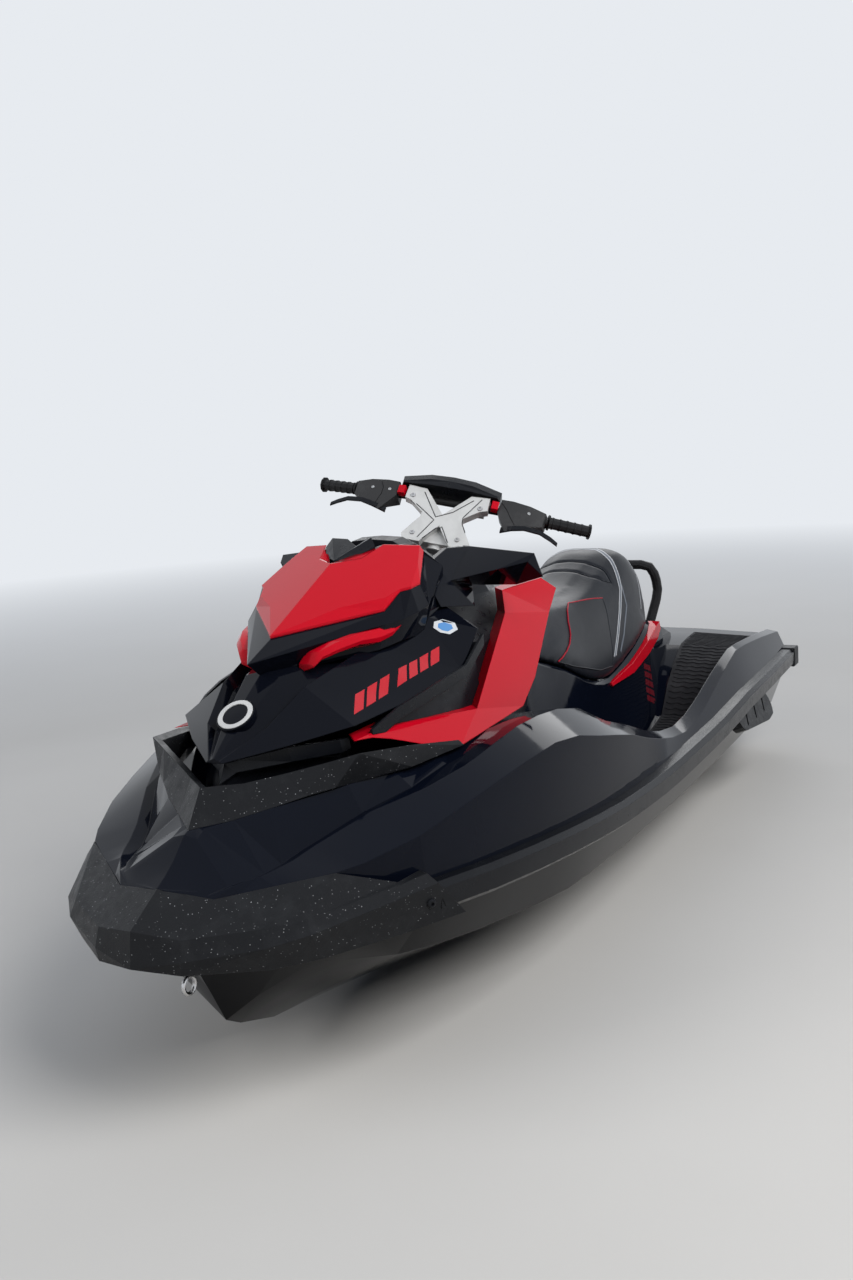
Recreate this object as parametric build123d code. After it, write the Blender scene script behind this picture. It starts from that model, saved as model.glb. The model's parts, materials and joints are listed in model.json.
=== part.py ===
from build123d import *
import os
from math import radians, degrees, sin, cos, atan2, pi, hypot

os.makedirs("parts", exist_ok=True)

# Personal watercraft, in millimetres.
# Places along the boat are measured forward from the transom, +Y is port, heights are above the keel.
# At the end every piece moves so that the origin lies on the centreline at the waterline.
ORIGIN_X = 1500.0
WATERLINE = 200.0

# Clearances and thicknesses used by more than one piece
SEAT_GAP = 0.3          # between pieces that are fitted on each other
MOVING_GAP = 7.0        # between a lid or a turning piece and what stands beside it
SKIN = 5.0              # moulded plastic and glass fibre skins

# Rail round the gunwale
RAIL_WIDTH = 62.0
RAIL_HEIGHT = 64.0
JOINT_DROP = 58.0       # the hull and deck meet this far below the top of the rail
WELL_SKIN = 14.0        # thickness of the deck round the footwells, which reach below the joint

# Sheer line at the outer top edge of the rail
# x, half breadth, height
SHEER = (
    (0, 575, 398),
    (300, 592, 403),
    (700, 606, 402),
    (1200, 610, 378),
    (1640, 610, 372),
    (2000, 608, 385),
    (2260, 600, 405),
    (2460, 580, 421),
    (2620, 552, 430),
    (2760, 518, 438),
    (2865, 476, 440),
    (2940, 430, 440),
    (3000, 385, 440),
    (3100, 300, 440),
    (3200, 170, 430),
    (3250, 60, 420),
)

# Hull below the joint
# x, keel height, strake y, strake z, chine half breadth, chine height
HULL = (
    (0, 0, 240, 96, 470, 172),
    (700, 0, 250, 98, 500, 178),
    (1500, 0, 255, 100, 515, 186),
    (2150, 2, 240, 104, 505, 200),
    (2500, 14, 205, 112, 450, 222),
    (2800, 42, 160, 136, 372, 252),
    (2960, 88, 120, 172, 300, 286),
    (3060, 155, 80, 222, 236, 322),
    (3075, 216, 68, 262, 220, 332),
    (3105, 271, 50, 304, 186, 350),
    (3206, 352, 20, 356, 90, 362),
)

# Deck above the joint, half sections from the centre outwards
# x, centre z, inner y, inner z, outer y, outer z, crest inner y, crest inner z, crest outer y, crest outer z
DECK = (
    (0, 470, 170, 468, 430, 456, 458, 470, 500, 462),
    (330, 476, 200, 474, 440, 462, 470, 500, 500, 492),
    (600, 400, 225, 380, 450, 376, 470, 512, 500, 506),
    (800, 300, 245, 262, 450, 262, 478, 486, 512, 476),
    (1360, 300, 250, 250, 466, 250, 502, 412, 544, 398),
    (1640, 300, 250, 254, 466, 254, 500, 470, 544, 446),
    (1750, 300, 250, 256, 460, 256, 484, 516, 548, 480),
    (1900, 420, 255, 420, 436, 420, 470, 566, 556, 528),
    (2030, 560, 262, 600, 380, 625, 440, 632, 558, 558),
    (2350, 560, 300, 640, 380, 650, 440, 660, 540, 624),
    (2600, 580, 310, 650, 372, 630, 420, 628, 500, 596),
    (2720, 590, 300, 646, 350, 608, 388, 610, 470, 572),
    (2800, 600, 280, 642, 318, 592, 346, 596, 450, 554),
    (2885, 610, 244, 641, 272, 572, 298, 582, 418, 536),
    (2930, 614, 196, 631, 238, 552, 268, 564, 396, 527),
    (2980, 612, 142, 616, 212, 530, 244, 543, 366, 518),
    (3030, 604, 75, 598, 190, 512, 222, 526, 330, 511),
    (3093, 590, 24, 584, 172, 504, 194, 514, 246, 498),
    (3150, 538, 96, 516, 138, 500, 150, 503, 166, 488),
    (3181, 516, 60, 500, 90, 494, 106, 488, 124, 482),
    (3206, 500, 3, 500, 6, 499, 9, 499, 12, 498),
)


def along(table, x):
    """Columns of a table at x, on a smooth line through its rows."""
    rows = list(table)
    if x <= rows[0][0]:
        return rows[0][1:]
    if x >= rows[-1][0]:
        return rows[-1][1:]
    k = max(i for i in range(len(rows) - 1) if rows[i][0] <= x)
    a, b = rows[k], rows[k + 1]
    before, after = rows[max(k - 1, 0)], rows[min(k + 2, len(rows) - 1)]
    span = b[0] - a[0]
    t = (x - a[0]) / span
    out = []
    for c in range(1, len(a)):
        step = (b[c] - a[c]) / span
        left = (a[c] - before[c]) / (a[0] - before[0]) if before is not a else step
        right = (after[c] - b[c]) / (after[0] - b[0]) if after is not b else step
        ma = 0.0 if left * step <= 0 else 2 * left * step / (left + step)
        mb = 0.0 if right * step <= 0 else 2 * right * step / (right + step)
        out.append(
            (2 * t**3 - 3 * t**2 + 1) * a[c] + (t**3 - 2 * t**2 + t) * span * ma
            + (3 * t**2 - 2 * t**3) * b[c] + (t**3 - t**2) * span * mb
        )
    return tuple(out)


def facet(points):
    """Flat face over a loop, leaving out points that repeat."""
    loop = [p for k, p in enumerate(points) if (Vector(*p) - Vector(*points[k - 1])).length > 0.01]
    return Face(Wire.make_polygon([Vector(*p) for p in loop], close=True))


def triangle_area(a, b, c):
    return (Vector(*b) - Vector(*a)).cross(Vector(*c) - Vector(*a)).length / 2


def fan(points):
    """Triangles over a loop, leaving out the empty ones."""
    out = []
    for b, c in zip(points[1:], points[2:]):
        if triangle_area(points[0], b, c) > 0.5:
            out.append(facet((points[0], b, c)))
    return out


def closed(faces):
    solid = Solid(Shell(faces))
    return solid if solid.volume > 0 else Solid(Shell([-f for f in faces]))


def skin(sections, flat_ends=True):
    """Straight-line skin over loops of points, with its two ends closed."""
    faces = []
    for a, b in zip(sections, sections[1:]):
        for i in range(len(a)):
            j = (i + 1) % len(a)
            faces += fan((a[i], a[j], b[j], b[i]))
    for end in (sections[0], sections[-1]):
        faces += [facet(end)] if flat_ends else fan(end)
    return closed(faces)


def whole(sections, flat_ends=True):
    """As skin, from half sections whose first and last points lie on the centreline."""
    faces = []
    for a, b in zip(sections, sections[1:]):
        for i in range(len(a) - 1):
            faces += fan((a[i], a[i + 1], b[i + 1], b[i]))
    for end in (sections[0], sections[-1]):
        if len({tuple(p) for p in end}) > 2:
            faces += [facet(end)] if flat_ends else fan(end)
    faces += [mirror(f, about=Plane.XZ) for f in faces]
    return closed(faces)


def slab(corners, facets, shift):
    """Solid between flat facets over named corners and their copy moved by shift."""
    triangles = [(f[0], b, c) for f in facets for b, c in zip(f[1:], f[2:])]
    moved = {name: tuple(Vector(*p) + Vector(*shift)) for name, p in corners.items()}
    sides = [(t[k], t[k - 1]) for t in triangles for k in range(3)]
    rim = [(a, b) for a, b in sides if (b, a) not in sides]
    faces = [facet([corners[n] for n in t]) for t in triangles] + [facet([moved[n] for n in t]) for t in triangles]
    for a, b in rim:
        faces += fan((corners[a], corners[b], moved[b], moved[a]))
    return closed(faces)


def turned(profile, sides, x=0.0, z=0.0):
    """Flat-sided solid of revolution about an axis along the boat. profile: x and the radius to the flats."""
    rings = []
    for at, r in profile:
        corner = r / cos(pi / sides)
        rings.append([(x + at, corner * cos(2 * pi * k / sides), z + corner * sin(2 * pi * k / sides))
                      for k in range(sides)])
    faces = []
    for k, b in enumerate(rings):
        if profile[k][1] == 0 and profile[k - 1][1] == 0:
            continue
        a = rings[k - 1]
        for i in range(sides):
            j = (i + 1) % sides
            faces.append(facet((a[i], a[j], b[j], b[i])))
    return closed(faces)


def rounded(points, bend):
    """The same line with each inner corner cut to three points."""
    out = [points[0]]
    for before, p, after in zip(points, points[1:], points[2:]):
        p, before, after = Vector(*p), Vector(*before), Vector(*after)
        a = p + (before - p).normalized() * bend
        b = p + (after - p).normalized() * bend
        out += [tuple(a), tuple((a + p * 2 + b) / 4), tuple(b)]
    return out + [points[-1]]


def tube(points, radius, sides):
    """Round bar with flat sides along a line that never runs along the boat."""
    rings = []
    for k, p in enumerate(points):
        ahead = Vector(*points[min(k + 1, len(points) - 1)]) - Vector(*points[max(k - 1, 0)])
        across = (Vector(1, 0, 0) - ahead * ahead.X / ahead.length**2).normalized()
        up = ahead.normalized().cross(across)
        rings.append([tuple(Vector(*p) + (across * cos(2 * pi * i / sides) + up * sin(2 * pi * i / sides)) * radius)
                      for i in range(sides)])
    return skin(rings, flat_ends=False)


def oval(length, height, steps):
    """Outline with two round ends, each in straight steps."""
    r, half = height / 2, (length - height) / 2
    return [(c + r * cos(radians(a + 180 * k / steps)), r * sin(radians(a + 180 * k / steps)))
            for c, a in ((half, -90), (-half, 90)) for k in range(steps + 1)]


def stations(first, last, count):
    return [first + (last - first) * k / count for k in range(count + 1)]


# Hull and deck are cut from the same stations, so that they meet face to face
BODY_STEPS = 24
BOW_X = (2980.0, 3030.0, 3075.0, 3105.0, 3150.0, 3181.0, 3206.0)
EDGE_SET_IN = 40.0          # the joint's edge lies this far inside the rail
EDGE_DROP = 14.0            # the deck's edge is this far below the top of the rail
BODY_X = stations(0, BOW_X[0], BODY_STEPS) + list(BOW_X[1:])


def joint_z(x):
    return along(SHEER, x)[1] - JOINT_DROP


def edge_y(x):
    return along(SHEER, x)[0] - EDGE_SET_IN


def joint_line(x):
    """Where hull and deck meet, from the outer edge to the centre: a ledge, then down round the footwells."""
    i_z, o_y, o_z = along(DECK, x)[2:5]
    edge, joint = edge_y(x), joint_z(x)
    well_y = min(o_y + WELL_SKIN, edge - 4)
    return [(x, edge, joint), (x, well_y, joint), (x, well_y, min(joint, o_z - WELL_SKIN)),
            (x, 0, min(joint, i_z - WELL_SKIN))]


def hull_section(x):
    keel_z, strake_y, strake_z, chine_y, chine_z = along(HULL, x)
    return [(x, 0, keel_z), (x, strake_y, strake_z), (x, chine_y, chine_z)] + joint_line(x)


def deck_section(x):
    c_z, i_y, i_z, o_y, o_z, ci_y, ci_z, co_y, co_z = along(DECK, x)
    return [(x, 0, c_z), (x, i_y, i_z), (x, o_y, o_z), (x, ci_y, ci_z), (x, co_y, co_z),
            (x, edge_y(x), along(SHEER, x)[1] - EDGE_DROP)] + joint_line(x)


def save(name, shape, moved=None):
    """Writes one piece, with the origin on the centreline at the waterline."""
    if isinstance(shape, (list, tuple, ShapeList)):
        shape = Compound(list(shape))
    if moved is not None:
        shape = shape.moved(moved)
    shape = shape.moved(Location((-ORIGIN_X, 0, -WATERLINE)))
    export_step(shape, f"parts/{name}.step")


def starboard(shape):
    return mirror(shape, about=Plane.XZ)


def save_two(name, shape, moved=None):
    """Writes a port piece and its starboard twin as two nodes."""
    save(name + "_left", shape, moved)
    save(name + "_right", starboard(shape), moved)


def save_pair(name, shape, moved=None):
    """Writes a port piece and its starboard twin into one node."""
    save(name, [shape, starboard(shape)], moved)


def without(shape, others):
    """The shape with other pieces cut out of it, keeping its largest solid."""
    for other in others:
        shape = shape - other
    return shape.solids().sort_by(SortBy.VOLUME)[-1]


# Jet pump, on its own axis under the stern
PUMP_Z = 138.0
PUMP_RADIUS = 78.0          # bore of the wear ring
PUMP_WALL = 8.0
PUMP_AFT = 290.0            # where the ring narrows into the venturi
PUMP_FRONT = 418.0          # forward face of the ring, on its flange
FLANGE = 12.0
VENTURI_RADIUS = 44.0       # bore of the venturi at its outlet
VENTURI_WALL = 6.0
NOZZLE_PIVOT_X = 158.0
NOZZLE_BELL = 62.0          # inside radius of the nozzle's round bell
NOZZLE_BORE = 44.0
NOZZLE_WALL = 6.0
NOZZLE_LENGTH = 104.0       # from the pivot to the outlet
PIN_RADIUS = 6.0
PIN_GAP = 0.05
SHAFT_RADIUS = 14.0
SHAFT_END = 930.0
BLADE_GAP = 5.0
GATE_PIVOT_X = 190.0
GATE_WALL = 7.0
NOZZLE_REACH = hypot(GATE_PIVOT_X - NOZZLE_PIVOT_X + NOZZLE_LENGTH, NOZZLE_BORE + NOZZLE_WALL)
GATE_RADIUS = NOZZLE_REACH + GATE_WALL + 6.0    # outside of the gate's shell, about its pivot
GATE_HALF_WIDTH = 98.0      # inside of the reverse gate's arms
TUNNEL_HALF_WIDTH = 138.0
TUNNEL_TOP = PUMP_Z + GATE_RADIUS + 2 * MOVING_GAP
TUNNEL_FRONT = PUMP_FRONT + FLANGE
INTAKE_FRONT = 1010.0
INTAKE_HALF_WIDTH = 70.0
INTAKE_ROOF = (790.0, 150.0)  # knee of the duct's roof, x and height

# Storage bin under the hood
BIN_X = (2330.0, 2700.0)
BIN_HALF_WIDTH = 150.0
BIN_FLOOR = 400.0
BIN_TOP = 672.0


def box_between(x, y, z):
    """Box from pairs of limits along each axis."""
    size = [hi - lo for lo, hi in (x, y, z)]
    centre = [(hi + lo) / 2 for lo, hi in (x, y, z)]
    return Pos(*centre) * Box(*size)


def along_x(radius, start, end, y=0.0, z=PUMP_Z):
    """Cylinder on an axis along the boat."""
    return Pos((start + end) / 2, y, z) * Rot(0, 90, 0) * Cylinder(radius, end - start)


def hull():
    body = whole([hull_section(x) for x in BODY_X])
    tunnel = box_between((-20, TUNNEL_FRONT), (-TUNNEL_HALF_WIDTH, TUNNEL_HALF_WIDTH), (-20, TUNNEL_TOP))
    duct_side = [(TUNNEL_FRONT - 5, -20), (INTAKE_FRONT, -20), (INTAKE_FRONT, 2), INTAKE_ROOF,
                 (TUNNEL_FRONT - 5, PUMP_Z + PUMP_RADIUS)]
    duct = extrude(Plane.XZ * make_face(Polyline(*duct_side, close=True)), INTAKE_HALF_WIDTH, both=True)
    shaft_hole = along_x(SHAFT_RADIUS + BLADE_GAP, TUNNEL_FRONT, SHAFT_END + BLADE_GAP)
    return without(body, [tunnel, duct, shaft_hole])


def hold():
    """Well through the deck for the storage bin."""
    return box_between(BIN_X, (-BIN_HALF_WIDTH, BIN_HALF_WIDTH), (joint_z(BIN_X[0]) - 1, BIN_TOP + 100))


def deck():
    return without(whole([deck_section(x) for x in BODY_X]), [hold()])


def storage_bin():
    outer = box_between(BIN_X, (-BIN_HALF_WIDTH, BIN_HALF_WIDTH), (BIN_FLOOR, BIN_TOP))
    return offset(outer, amount=-SKIN, openings=outer.faces().sort_by(Axis.Z)[-1])


# Rail sections follow the sheer from the transom corner to the bumper
RAIL_X = stations(14, 2862, 18)


def rail_section(x):
    y, z = along(SHEER, x)
    return [
        (x, y - RAIL_WIDTH, z - RAIL_HEIGHT + 6), (x, y - RAIL_WIDTH, z + 4), (x, y - 14, z + 4), (x, y, z - 8),
        (x, y - 2, z - RAIL_HEIGHT + 12), (x, y - 16, z - RAIL_HEIGHT),
    ]


def side_rail(body):
    return without(skin([rail_section(x) for x in RAIL_X]), body)


# Front bumper, half sections round the bow from its port end to the centreline
# inner edge, crease, lower crease, lip, inside of the lip
BUMPER = (
    ((2868, 430, 470), (2880, 455, 470), (2872, 477, 448), (2806, 503, 362), (2800, 440, 362)),
    ((2937, 415, 466), (2940, 424, 463), (2952, 436, 440), (2932, 424, 352), (2920, 370, 352)),
    ((3035, 327, 511), (3128, 312, 443), (3136, 326, 416), (3102, 322, 350), (3040, 280, 350)),
    ((3108, 225, 497), (3194, 246, 440), (3204, 258, 404), (3184, 250, 350), (3090, 200, 350)),
    ((3181, 124, 483), (3275, 108, 430), (3287, 112, 388), (3284, 108, 358), (3130, 100, 358)),
    ((3207, 0, 500), (3299, 0, 443), (3307, 0, 393), (3311, 0, 367), (3140, 0, 367)),
)


def bumper(body):
    half = skin(BUMPER, flat_ends=False)
    return without(half + starboard(half), body)


# Prow: a V of textured plastic whose sides run back along the deck as the outer walls of the two air scoops
# top edge, lower edge, back of the lower edge, back of the top edge
PROW = (
    ((3039, 0, 667), (3093, 0, 588), (3060, 0, 580), (3012, 0, 655)),
    ((2980, 72, 665), (3030, 75, 598), (3006, 70, 590), (2958, 66, 653)),
    ((2930, 146, 678), (2980, 142, 616), (2958, 132, 606), (2910, 136, 666)),
    ((2880, 228, 696), (2930, 196, 631), (2908, 184, 622), (2862, 216, 684)),
    ((2845, 288, 711), (2885, 244, 641), (2862, 232, 632), (2828, 274, 700)),
    ((2700, 330, 694), (2700, 334, 644), (2690, 312, 634), (2690, 312, 684)),
    ((2530, 366, 664), (2520, 374, 650), (2520, 352, 648), (2530, 350, 658)),
)


def prow(body):
    half = skin(PROW, flat_ends=False)
    return without(half + starboard(half), body)


# Steering, in the column's own frame: X forward, Y port and Z up the leaning column
COLUMN = (1872.0, 0.0, 1071.0)
COLUMN_LEAN = 41.7          # degrees aft from upright
BAR_REST = 19.2             # the bar is turned this far to port
BAR_RADIUS = 11.0
BAR_SIDES = 12
BAR_BEND = 30.0
BAR_BEND_Y = 150.0          # the middle of the bar is straight between these
BAR_KNEE = 14.0             # the bar bends this far before the grip
BAR_FIT = 0.05
BAR_Z = 112.0
BAR_X = 8.0
GRIP_START = (-24.0, 286.0, 126.0)
GRIP_END = (-60.0, 402.0, 143.0)
GRIP_RADIUS = 17.0
GRIP_FLANGE = 23.0
GRIP_CAP = 4.0
GRIP_SIDES = 10
GRIP_RIBS = 5
GRIP_RIB = 1.5              # how far a rib stands out
GRIP_RIB_WIDTH = 4.0
GRIP_RIB_AT = 12.0
STEM_FRONT = 50.0           # face of the X
STEM_DEPTH = 26.0

column = Location(Plane(origin=COLUMN, x_dir=(cos(radians(COLUMN_LEAN)), 0, sin(radians(COLUMN_LEAN))),
                        z_dir=(-sin(radians(COLUMN_LEAN)), 0, cos(radians(COLUMN_LEAN)))))
steered = column * Rot(0, 0, BAR_REST)

POST_RADIUS = 26.0


def column_core():
    """Room round the post where it goes down into the console."""
    return Pos(0, 0, -140) * Cylinder(POST_RADIUS + MOVING_GAP, 260)


# Hood lid: side facets either side of a raised centre spine
# x, centre z, spine y, spine z, valley y, valley z, shoulder y, shoulder z, lower edge y, lower edge z
HOOD = (
    (2984, 716, 6, 714, 12, 711, 16, 711, 22, 706),
    (2891, 792, 30, 784, 60, 752, 82, 768, 132, 728),
    (2779, 868, 46, 857, 88, 814, 114, 837, 238, 752),
    (2560, 905, 60, 900, 128, 872, 160, 893, 286, 772),
    (2372, 925, 70, 920, 150, 902, 200, 930, 304, 796),
    (2262, 930, 70, 925, 150, 915, 206, 940, 300, 880),
)


def hood_section(row, inset=0.0, drop=0.0):
    x, c_z, s_y, s_z, v_y, v_z, h_y, h_z, e_y, e_z = row
    half = [(s_y, s_z), (v_y, v_z), (h_y, h_z), (e_y, e_z)]
    points = [(x, 0, c_z - inset)] + [(x, max(y - 0.4 * inset, 1.0), z - inset) for y, z in half]
    points[-1] = (x, max(e_y - inset, 1.0), e_z - drop)
    return points + [(x, 0, min(e_z, c_z - inset - 1) - drop)]


def hood_shell():
    outer = whole([hood_section(row) for row in HOOD])
    inner_rows = [(row[0] - 3,) + row[1:] for row in HOOD[1:]]
    last = HOOD[-1]
    inner_rows[-1] = (last[0] - 20,) + last[1:]
    inner = whole([hood_section(row, 3 * SKIN, 30) for row in inner_rows])
    return outer - inner


# Red panel over the hood, port half. The corners round its outline come first, in order.
PANEL = {
    "tip": (2736, 0, 942),
    "corner": (2526, 187, 974),
    "step": (2469, 201, 1012),
    "step_end": (2449, 220, 1016),
    "side": (2405, 221, 1020),
    "shoulder": (2294, 176, 1084),
    "top": (2303, 170, 1098),
    "top_inner": (2337, 86, 1105),
    "vent_side": (2410, 61, 1078),
    "notch": (2457, 0, 1073),
    "crease_front": (2586, 101, 985),
    "crease_back": (2509, 184, 998),
    "side_crease": (2361, 195, 1064),
}
PANEL_RIM = 10              # the first so many corners lie on the outline
PANEL_FACETS = (
    ("notch", "tip", "crease_front", "crease_back", "step", "step_end", "side_crease", "top", "top_inner",
     "vent_side"),
    ("crease_front", "tip", "corner", "crease_back"),
    ("crease_back", "corner", "step"),
    ("side_crease", "step_end", "side", "shoulder", "top"),
)
PANEL_THICKNESS = 7.0

# Lower rim of the beak's black band, and its foot on the hood, in the order of the panel's outline
BEAK_RIM = (
    (2833, 0, 894), (2548, 200, 940), (2493, 220, 944), (2440, 232, 952), (2390, 234, 962), (2264, 212, 1040),
    (2264, 168, 1078), (2264, 110, 1098), (2264, 56, 1088), (2264, 0, 1084),
)
BEAK_FOOT = (
    (2776, 0, 850), (2560, 186, 880), (2490, 208, 890), (2440, 212, 890), (2390, 214, 890), (2264, 204, 920),
    (2264, 160, 910), (2264, 110, 900), (2264, 56, 900), (2264, 0, 900),
)


def lowered(points, drop):
    return [(x, y, z - drop) for x, y, z in points]


def doubled(half):
    return half + starboard(half)


def hood_panel():
    """Red panel: flat facets either side of the hood's crease, with a steeper band along the lower edge."""
    return doubled(slab(PANEL, PANEL_FACETS, (0, 0, -PANEL_THICKNESS)))


def hood_beak(others):
    """Black cowl that carries the red panel and ends forward in a beak over the hood."""
    under = dict(zip(PANEL, lowered(PANEL.values(), PANEL_THICKNESS + SEAT_GAP)))
    seat = list(under.values())[:PANEL_RIM]
    faces = fan(BEAK_FOOT)
    for a, b in ((BEAK_FOOT, BEAK_RIM), (BEAK_RIM, seat)):
        for i in range(PANEL_RIM):
            j = (i + 1) % PANEL_RIM
            faces += fan((a[i], a[j], b[j], b[i]))
    for names in PANEL_FACETS:
        faces += fan([under[n] for n in names])
    return without(doubled(closed(faces)), others)


# Red brow that shows under each side of the beak
# x, y, z along its lower lip, and the height of the lip
BROW = (
    (2717, 99, 866, 8),
    (2703, 115, 883, 18),
    (2669, 145, 896, 22),
    (2623, 172, 905, 24),
    (2571, 195, 902, 30),
    (2530, 206, 910, 26),
    (2486, 212, 932, 8),
)


def brow(others):
    sections = []
    for x, y, z, tall in BROW:
        sections.append([(x, y, z), (x, y + 5, z + 0.4 * tall), (x, y - 8, z + tall), (x, y - 40, z + tall),
                         (x, y - 40, z - 14)])
    return without(skin(sections, flat_ends=False), others)


# Low dark vent in the notch of the red panel
def hood_vent(others):
    loop = [(2440, 0, 1078), (2404, 46, 1083), (2358, 72, 1104), (2348, 58, 1124), (2320, 30, 1118), (2330, 0, 1100)]
    return doubled(without(skin([lowered(loop, 40), loop], flat_ends=False), others))


# Mirror housing: a cowl at the rear corner of the hood, and a wedge that stands out from it
# outline of the cowl's outer face, from its upper front corner aft and round
COWL = (
    (2285, 190, 1053), (2194, 190, 1077), (2101, 205, 1070), (2110, 214, 960), (2153, 240, 919), (2303, 220, 941),
    (2326, 210, 988),
)
COWL_INSIDE = 176.0
COWL_CORNER = (2246, 222, 999)

# sections of the wedge from the cowl outwards: leading edge, top of its aft face, foot of its aft face
WEDGE = (
    ((2290, 180, 990), (2101, 190, 1072), (2057, 190, 960)),
    ((2246, 222, 999), (2101, 212, 1070), (2057, 214, 960)),
    ((2172, 320, 1018), (2099, 320, 1058), (2060, 320, 962)),
    ((2125, 384, 1031), (2098, 392, 1050), (2072, 402, 985)),
)
GLASS_FRAME = 9.0           # rim of the housing round the glass
GLASS_THICKNESS = 3.0
GLASS_AHEAD = 1.0           # the glass stands this far off the unfinished face behind it


def mirror_housing(others):
    inner = [(x, COWL_INSIDE, z) for x, y, z in COWL]
    cowl = skin([inner, COWL, [COWL_CORNER] * len(COWL)], flat_ends=False)
    return without(cowl + skin(WEDGE, flat_ends=False), others)


def mirror_glass():
    """Glass set on the aft face of the wedge."""
    root, middle, outer = WEDGE[1:]
    face = [Vector(*p) for p in (outer[1], outer[2], middle[2], root[2], root[1])]
    aft = (face[1] - face[0]).cross(face[-1] - face[0]).normalized()
    aft = aft if aft.X < 0 else -aft
    centre = sum(face, Vector()) / len(face)
    inset = [p + (centre - p).normalized() * GLASS_FRAME + aft * GLASS_AHEAD for p in face]
    return skin([[tuple(p) for p in inset], [tuple(p + aft * GLASS_THICKNESS) for p in inset]], flat_ends=False)


# Console between the mirrors, half sections
# x, top z, crown y, crown z, shoulder y, shoulder z, waist y, waist z, side y, side z, foot y
CONSOLE = (
    (1640, 900, 60, 896, 112, 876, 140, 850, 152, 800, 150),
    (1740, 945, 70, 940, 132, 912, 166, 890, 212, 866, 186),
    (1850, 968, 80, 962, 152, 926, 178, 900, 236, 858, 225),
    (1980, 1000, 90, 996, 166, 966, 184, 930, 250, 862, 272),
    (2120, 1062, 104, 1056, 148, 1010, 150, 925, 262, 822, 290),
    (2255, 1086, 112, 1080, 150, 1036, 150, 925, 274, 830, 300),
)
CONSOLE_FOOT = 560.0
CONSOLE_STEPS = 6


def console_section(x):
    t_z, c_y, c_z, s_y, s_z, w_y, w_z, b_y, b_z, f_y = along(CONSOLE, x)
    return [(x, 0, t_z), (x, c_y, c_z), (x, s_y, s_z), (x, w_y, w_z), (x, b_y, b_z), (x, f_y, CONSOLE_FOOT),
            (x, 0, CONSOLE_FOOT)]


def console(others):
    column_hole = column_core().moved(column)
    rows = [console_section(x) for x in stations(CONSOLE[0][0], CONSOLE[-1][0], CONSOLE_STEPS)]
    return without(whole(rows), others + [column_hole])


# Gauge pod on top of the console, half sections from its hooded front to the foot of its screen
# x, top z, crown y, crown z, side y, side z, foot y, foot z
GAUGE = (
    (2250, 1108, 60, 1104, 94, 1086, 104, 1050),
    (2196, 1112, 62, 1108, 96, 1090, 104, 1046),
    (2120, 1078, 58, 1076, 88, 1066, 96, 1036),
)


def gauge_pod(others):
    rows = [[(x, 0, t_z), (x, c_y, c_z), (x, s_y, s_z), (x, f_y, f_z), (x, 0, f_z)]
            for x, t_z, c_y, c_z, s_y, s_z, f_y, f_z in GAUGE]
    return without(whole(rows), others)


# Walls under the hood's edge, from the deck up
# strip over each air scoop, from the centreline aft: loops of top, lip, recess, foot, inner foot, inner top
SCOOP_LIP = (
    ((2949, 0, 695), (2972, 0, 654), (2950, 0, 648), (2950, 0, 560), (2920, 0, 560), (2920, 0, 692)),
    ((2934, 22, 700), (2940, 24, 674), (2920, 18, 668), (2916, 16, 560), (2894, 8, 560), (2894, 8, 694)),
    ((2871, 118, 719), (2866, 124, 686), (2846, 98, 680), (2840, 98, 560), (2826, 84, 560), (2850, 98, 714)),
    ((2785, 200, 720), (2782, 204, 690), (2764, 176, 684), (2760, 176, 560), (2746, 162, 560), (2766, 184, 716)),
    ((2758, 208, 719), (2758, 212, 694), (2754, 184, 688), (2754, 184, 560), (2748, 168, 560), (2750, 192, 715)),
)

# gutter that runs outside the lid's edge, over a panel that is set back from the fairing
# x, z of its lip, panel y, foot y
GUTTER = (
    (2740, 735, 226, 222),
    (2644, 769, 258, 264),
    (2560, 785, 276, 288),
    (2372, 811, 290, 312),
    (2262, 868, 284, 310),
)
GUTTER_LIP = 30.0
GUTTER_DEPTH = 22.0
GUTTER_WALL = 7.0
WALL_FOOT = 560.0
WALL_THICKNESS = 14.0


def hood_edge_y(x):
    """Half breadth of the lid's lower edge, which is straight between the rows of its table."""
    for a, b in zip(HOOD, HOOD[1:]):
        if b[0] <= x <= a[0]:
            return a[8] + (b[8] - a[8]) * (x - a[0]) / (b[0] - a[0])
    return HOOD[-1][8]


def scoop_lip(others):
    return doubled(without(skin(SCOOP_LIP, flat_ends=False), others))


def gutter(others):
    sections = []
    for x, z, panel, foot in GUTTER:
        y = hood_edge_y(x) + MOVING_GAP
        sections.append([(x, y + GUTTER_WALL, z), (x, y + GUTTER_WALL, z - GUTTER_LIP), (x, panel, z - GUTTER_LIP - 4),
                         (x, foot, WALL_FOOT), (x, foot - WALL_THICKNESS, WALL_FOOT),
                         (x, panel - WALL_THICKNESS, z - GUTTER_DEPTH), (x, y, z - GUTTER_DEPTH), (x, y, z)])
    return without(skin(sections), others)


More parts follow.
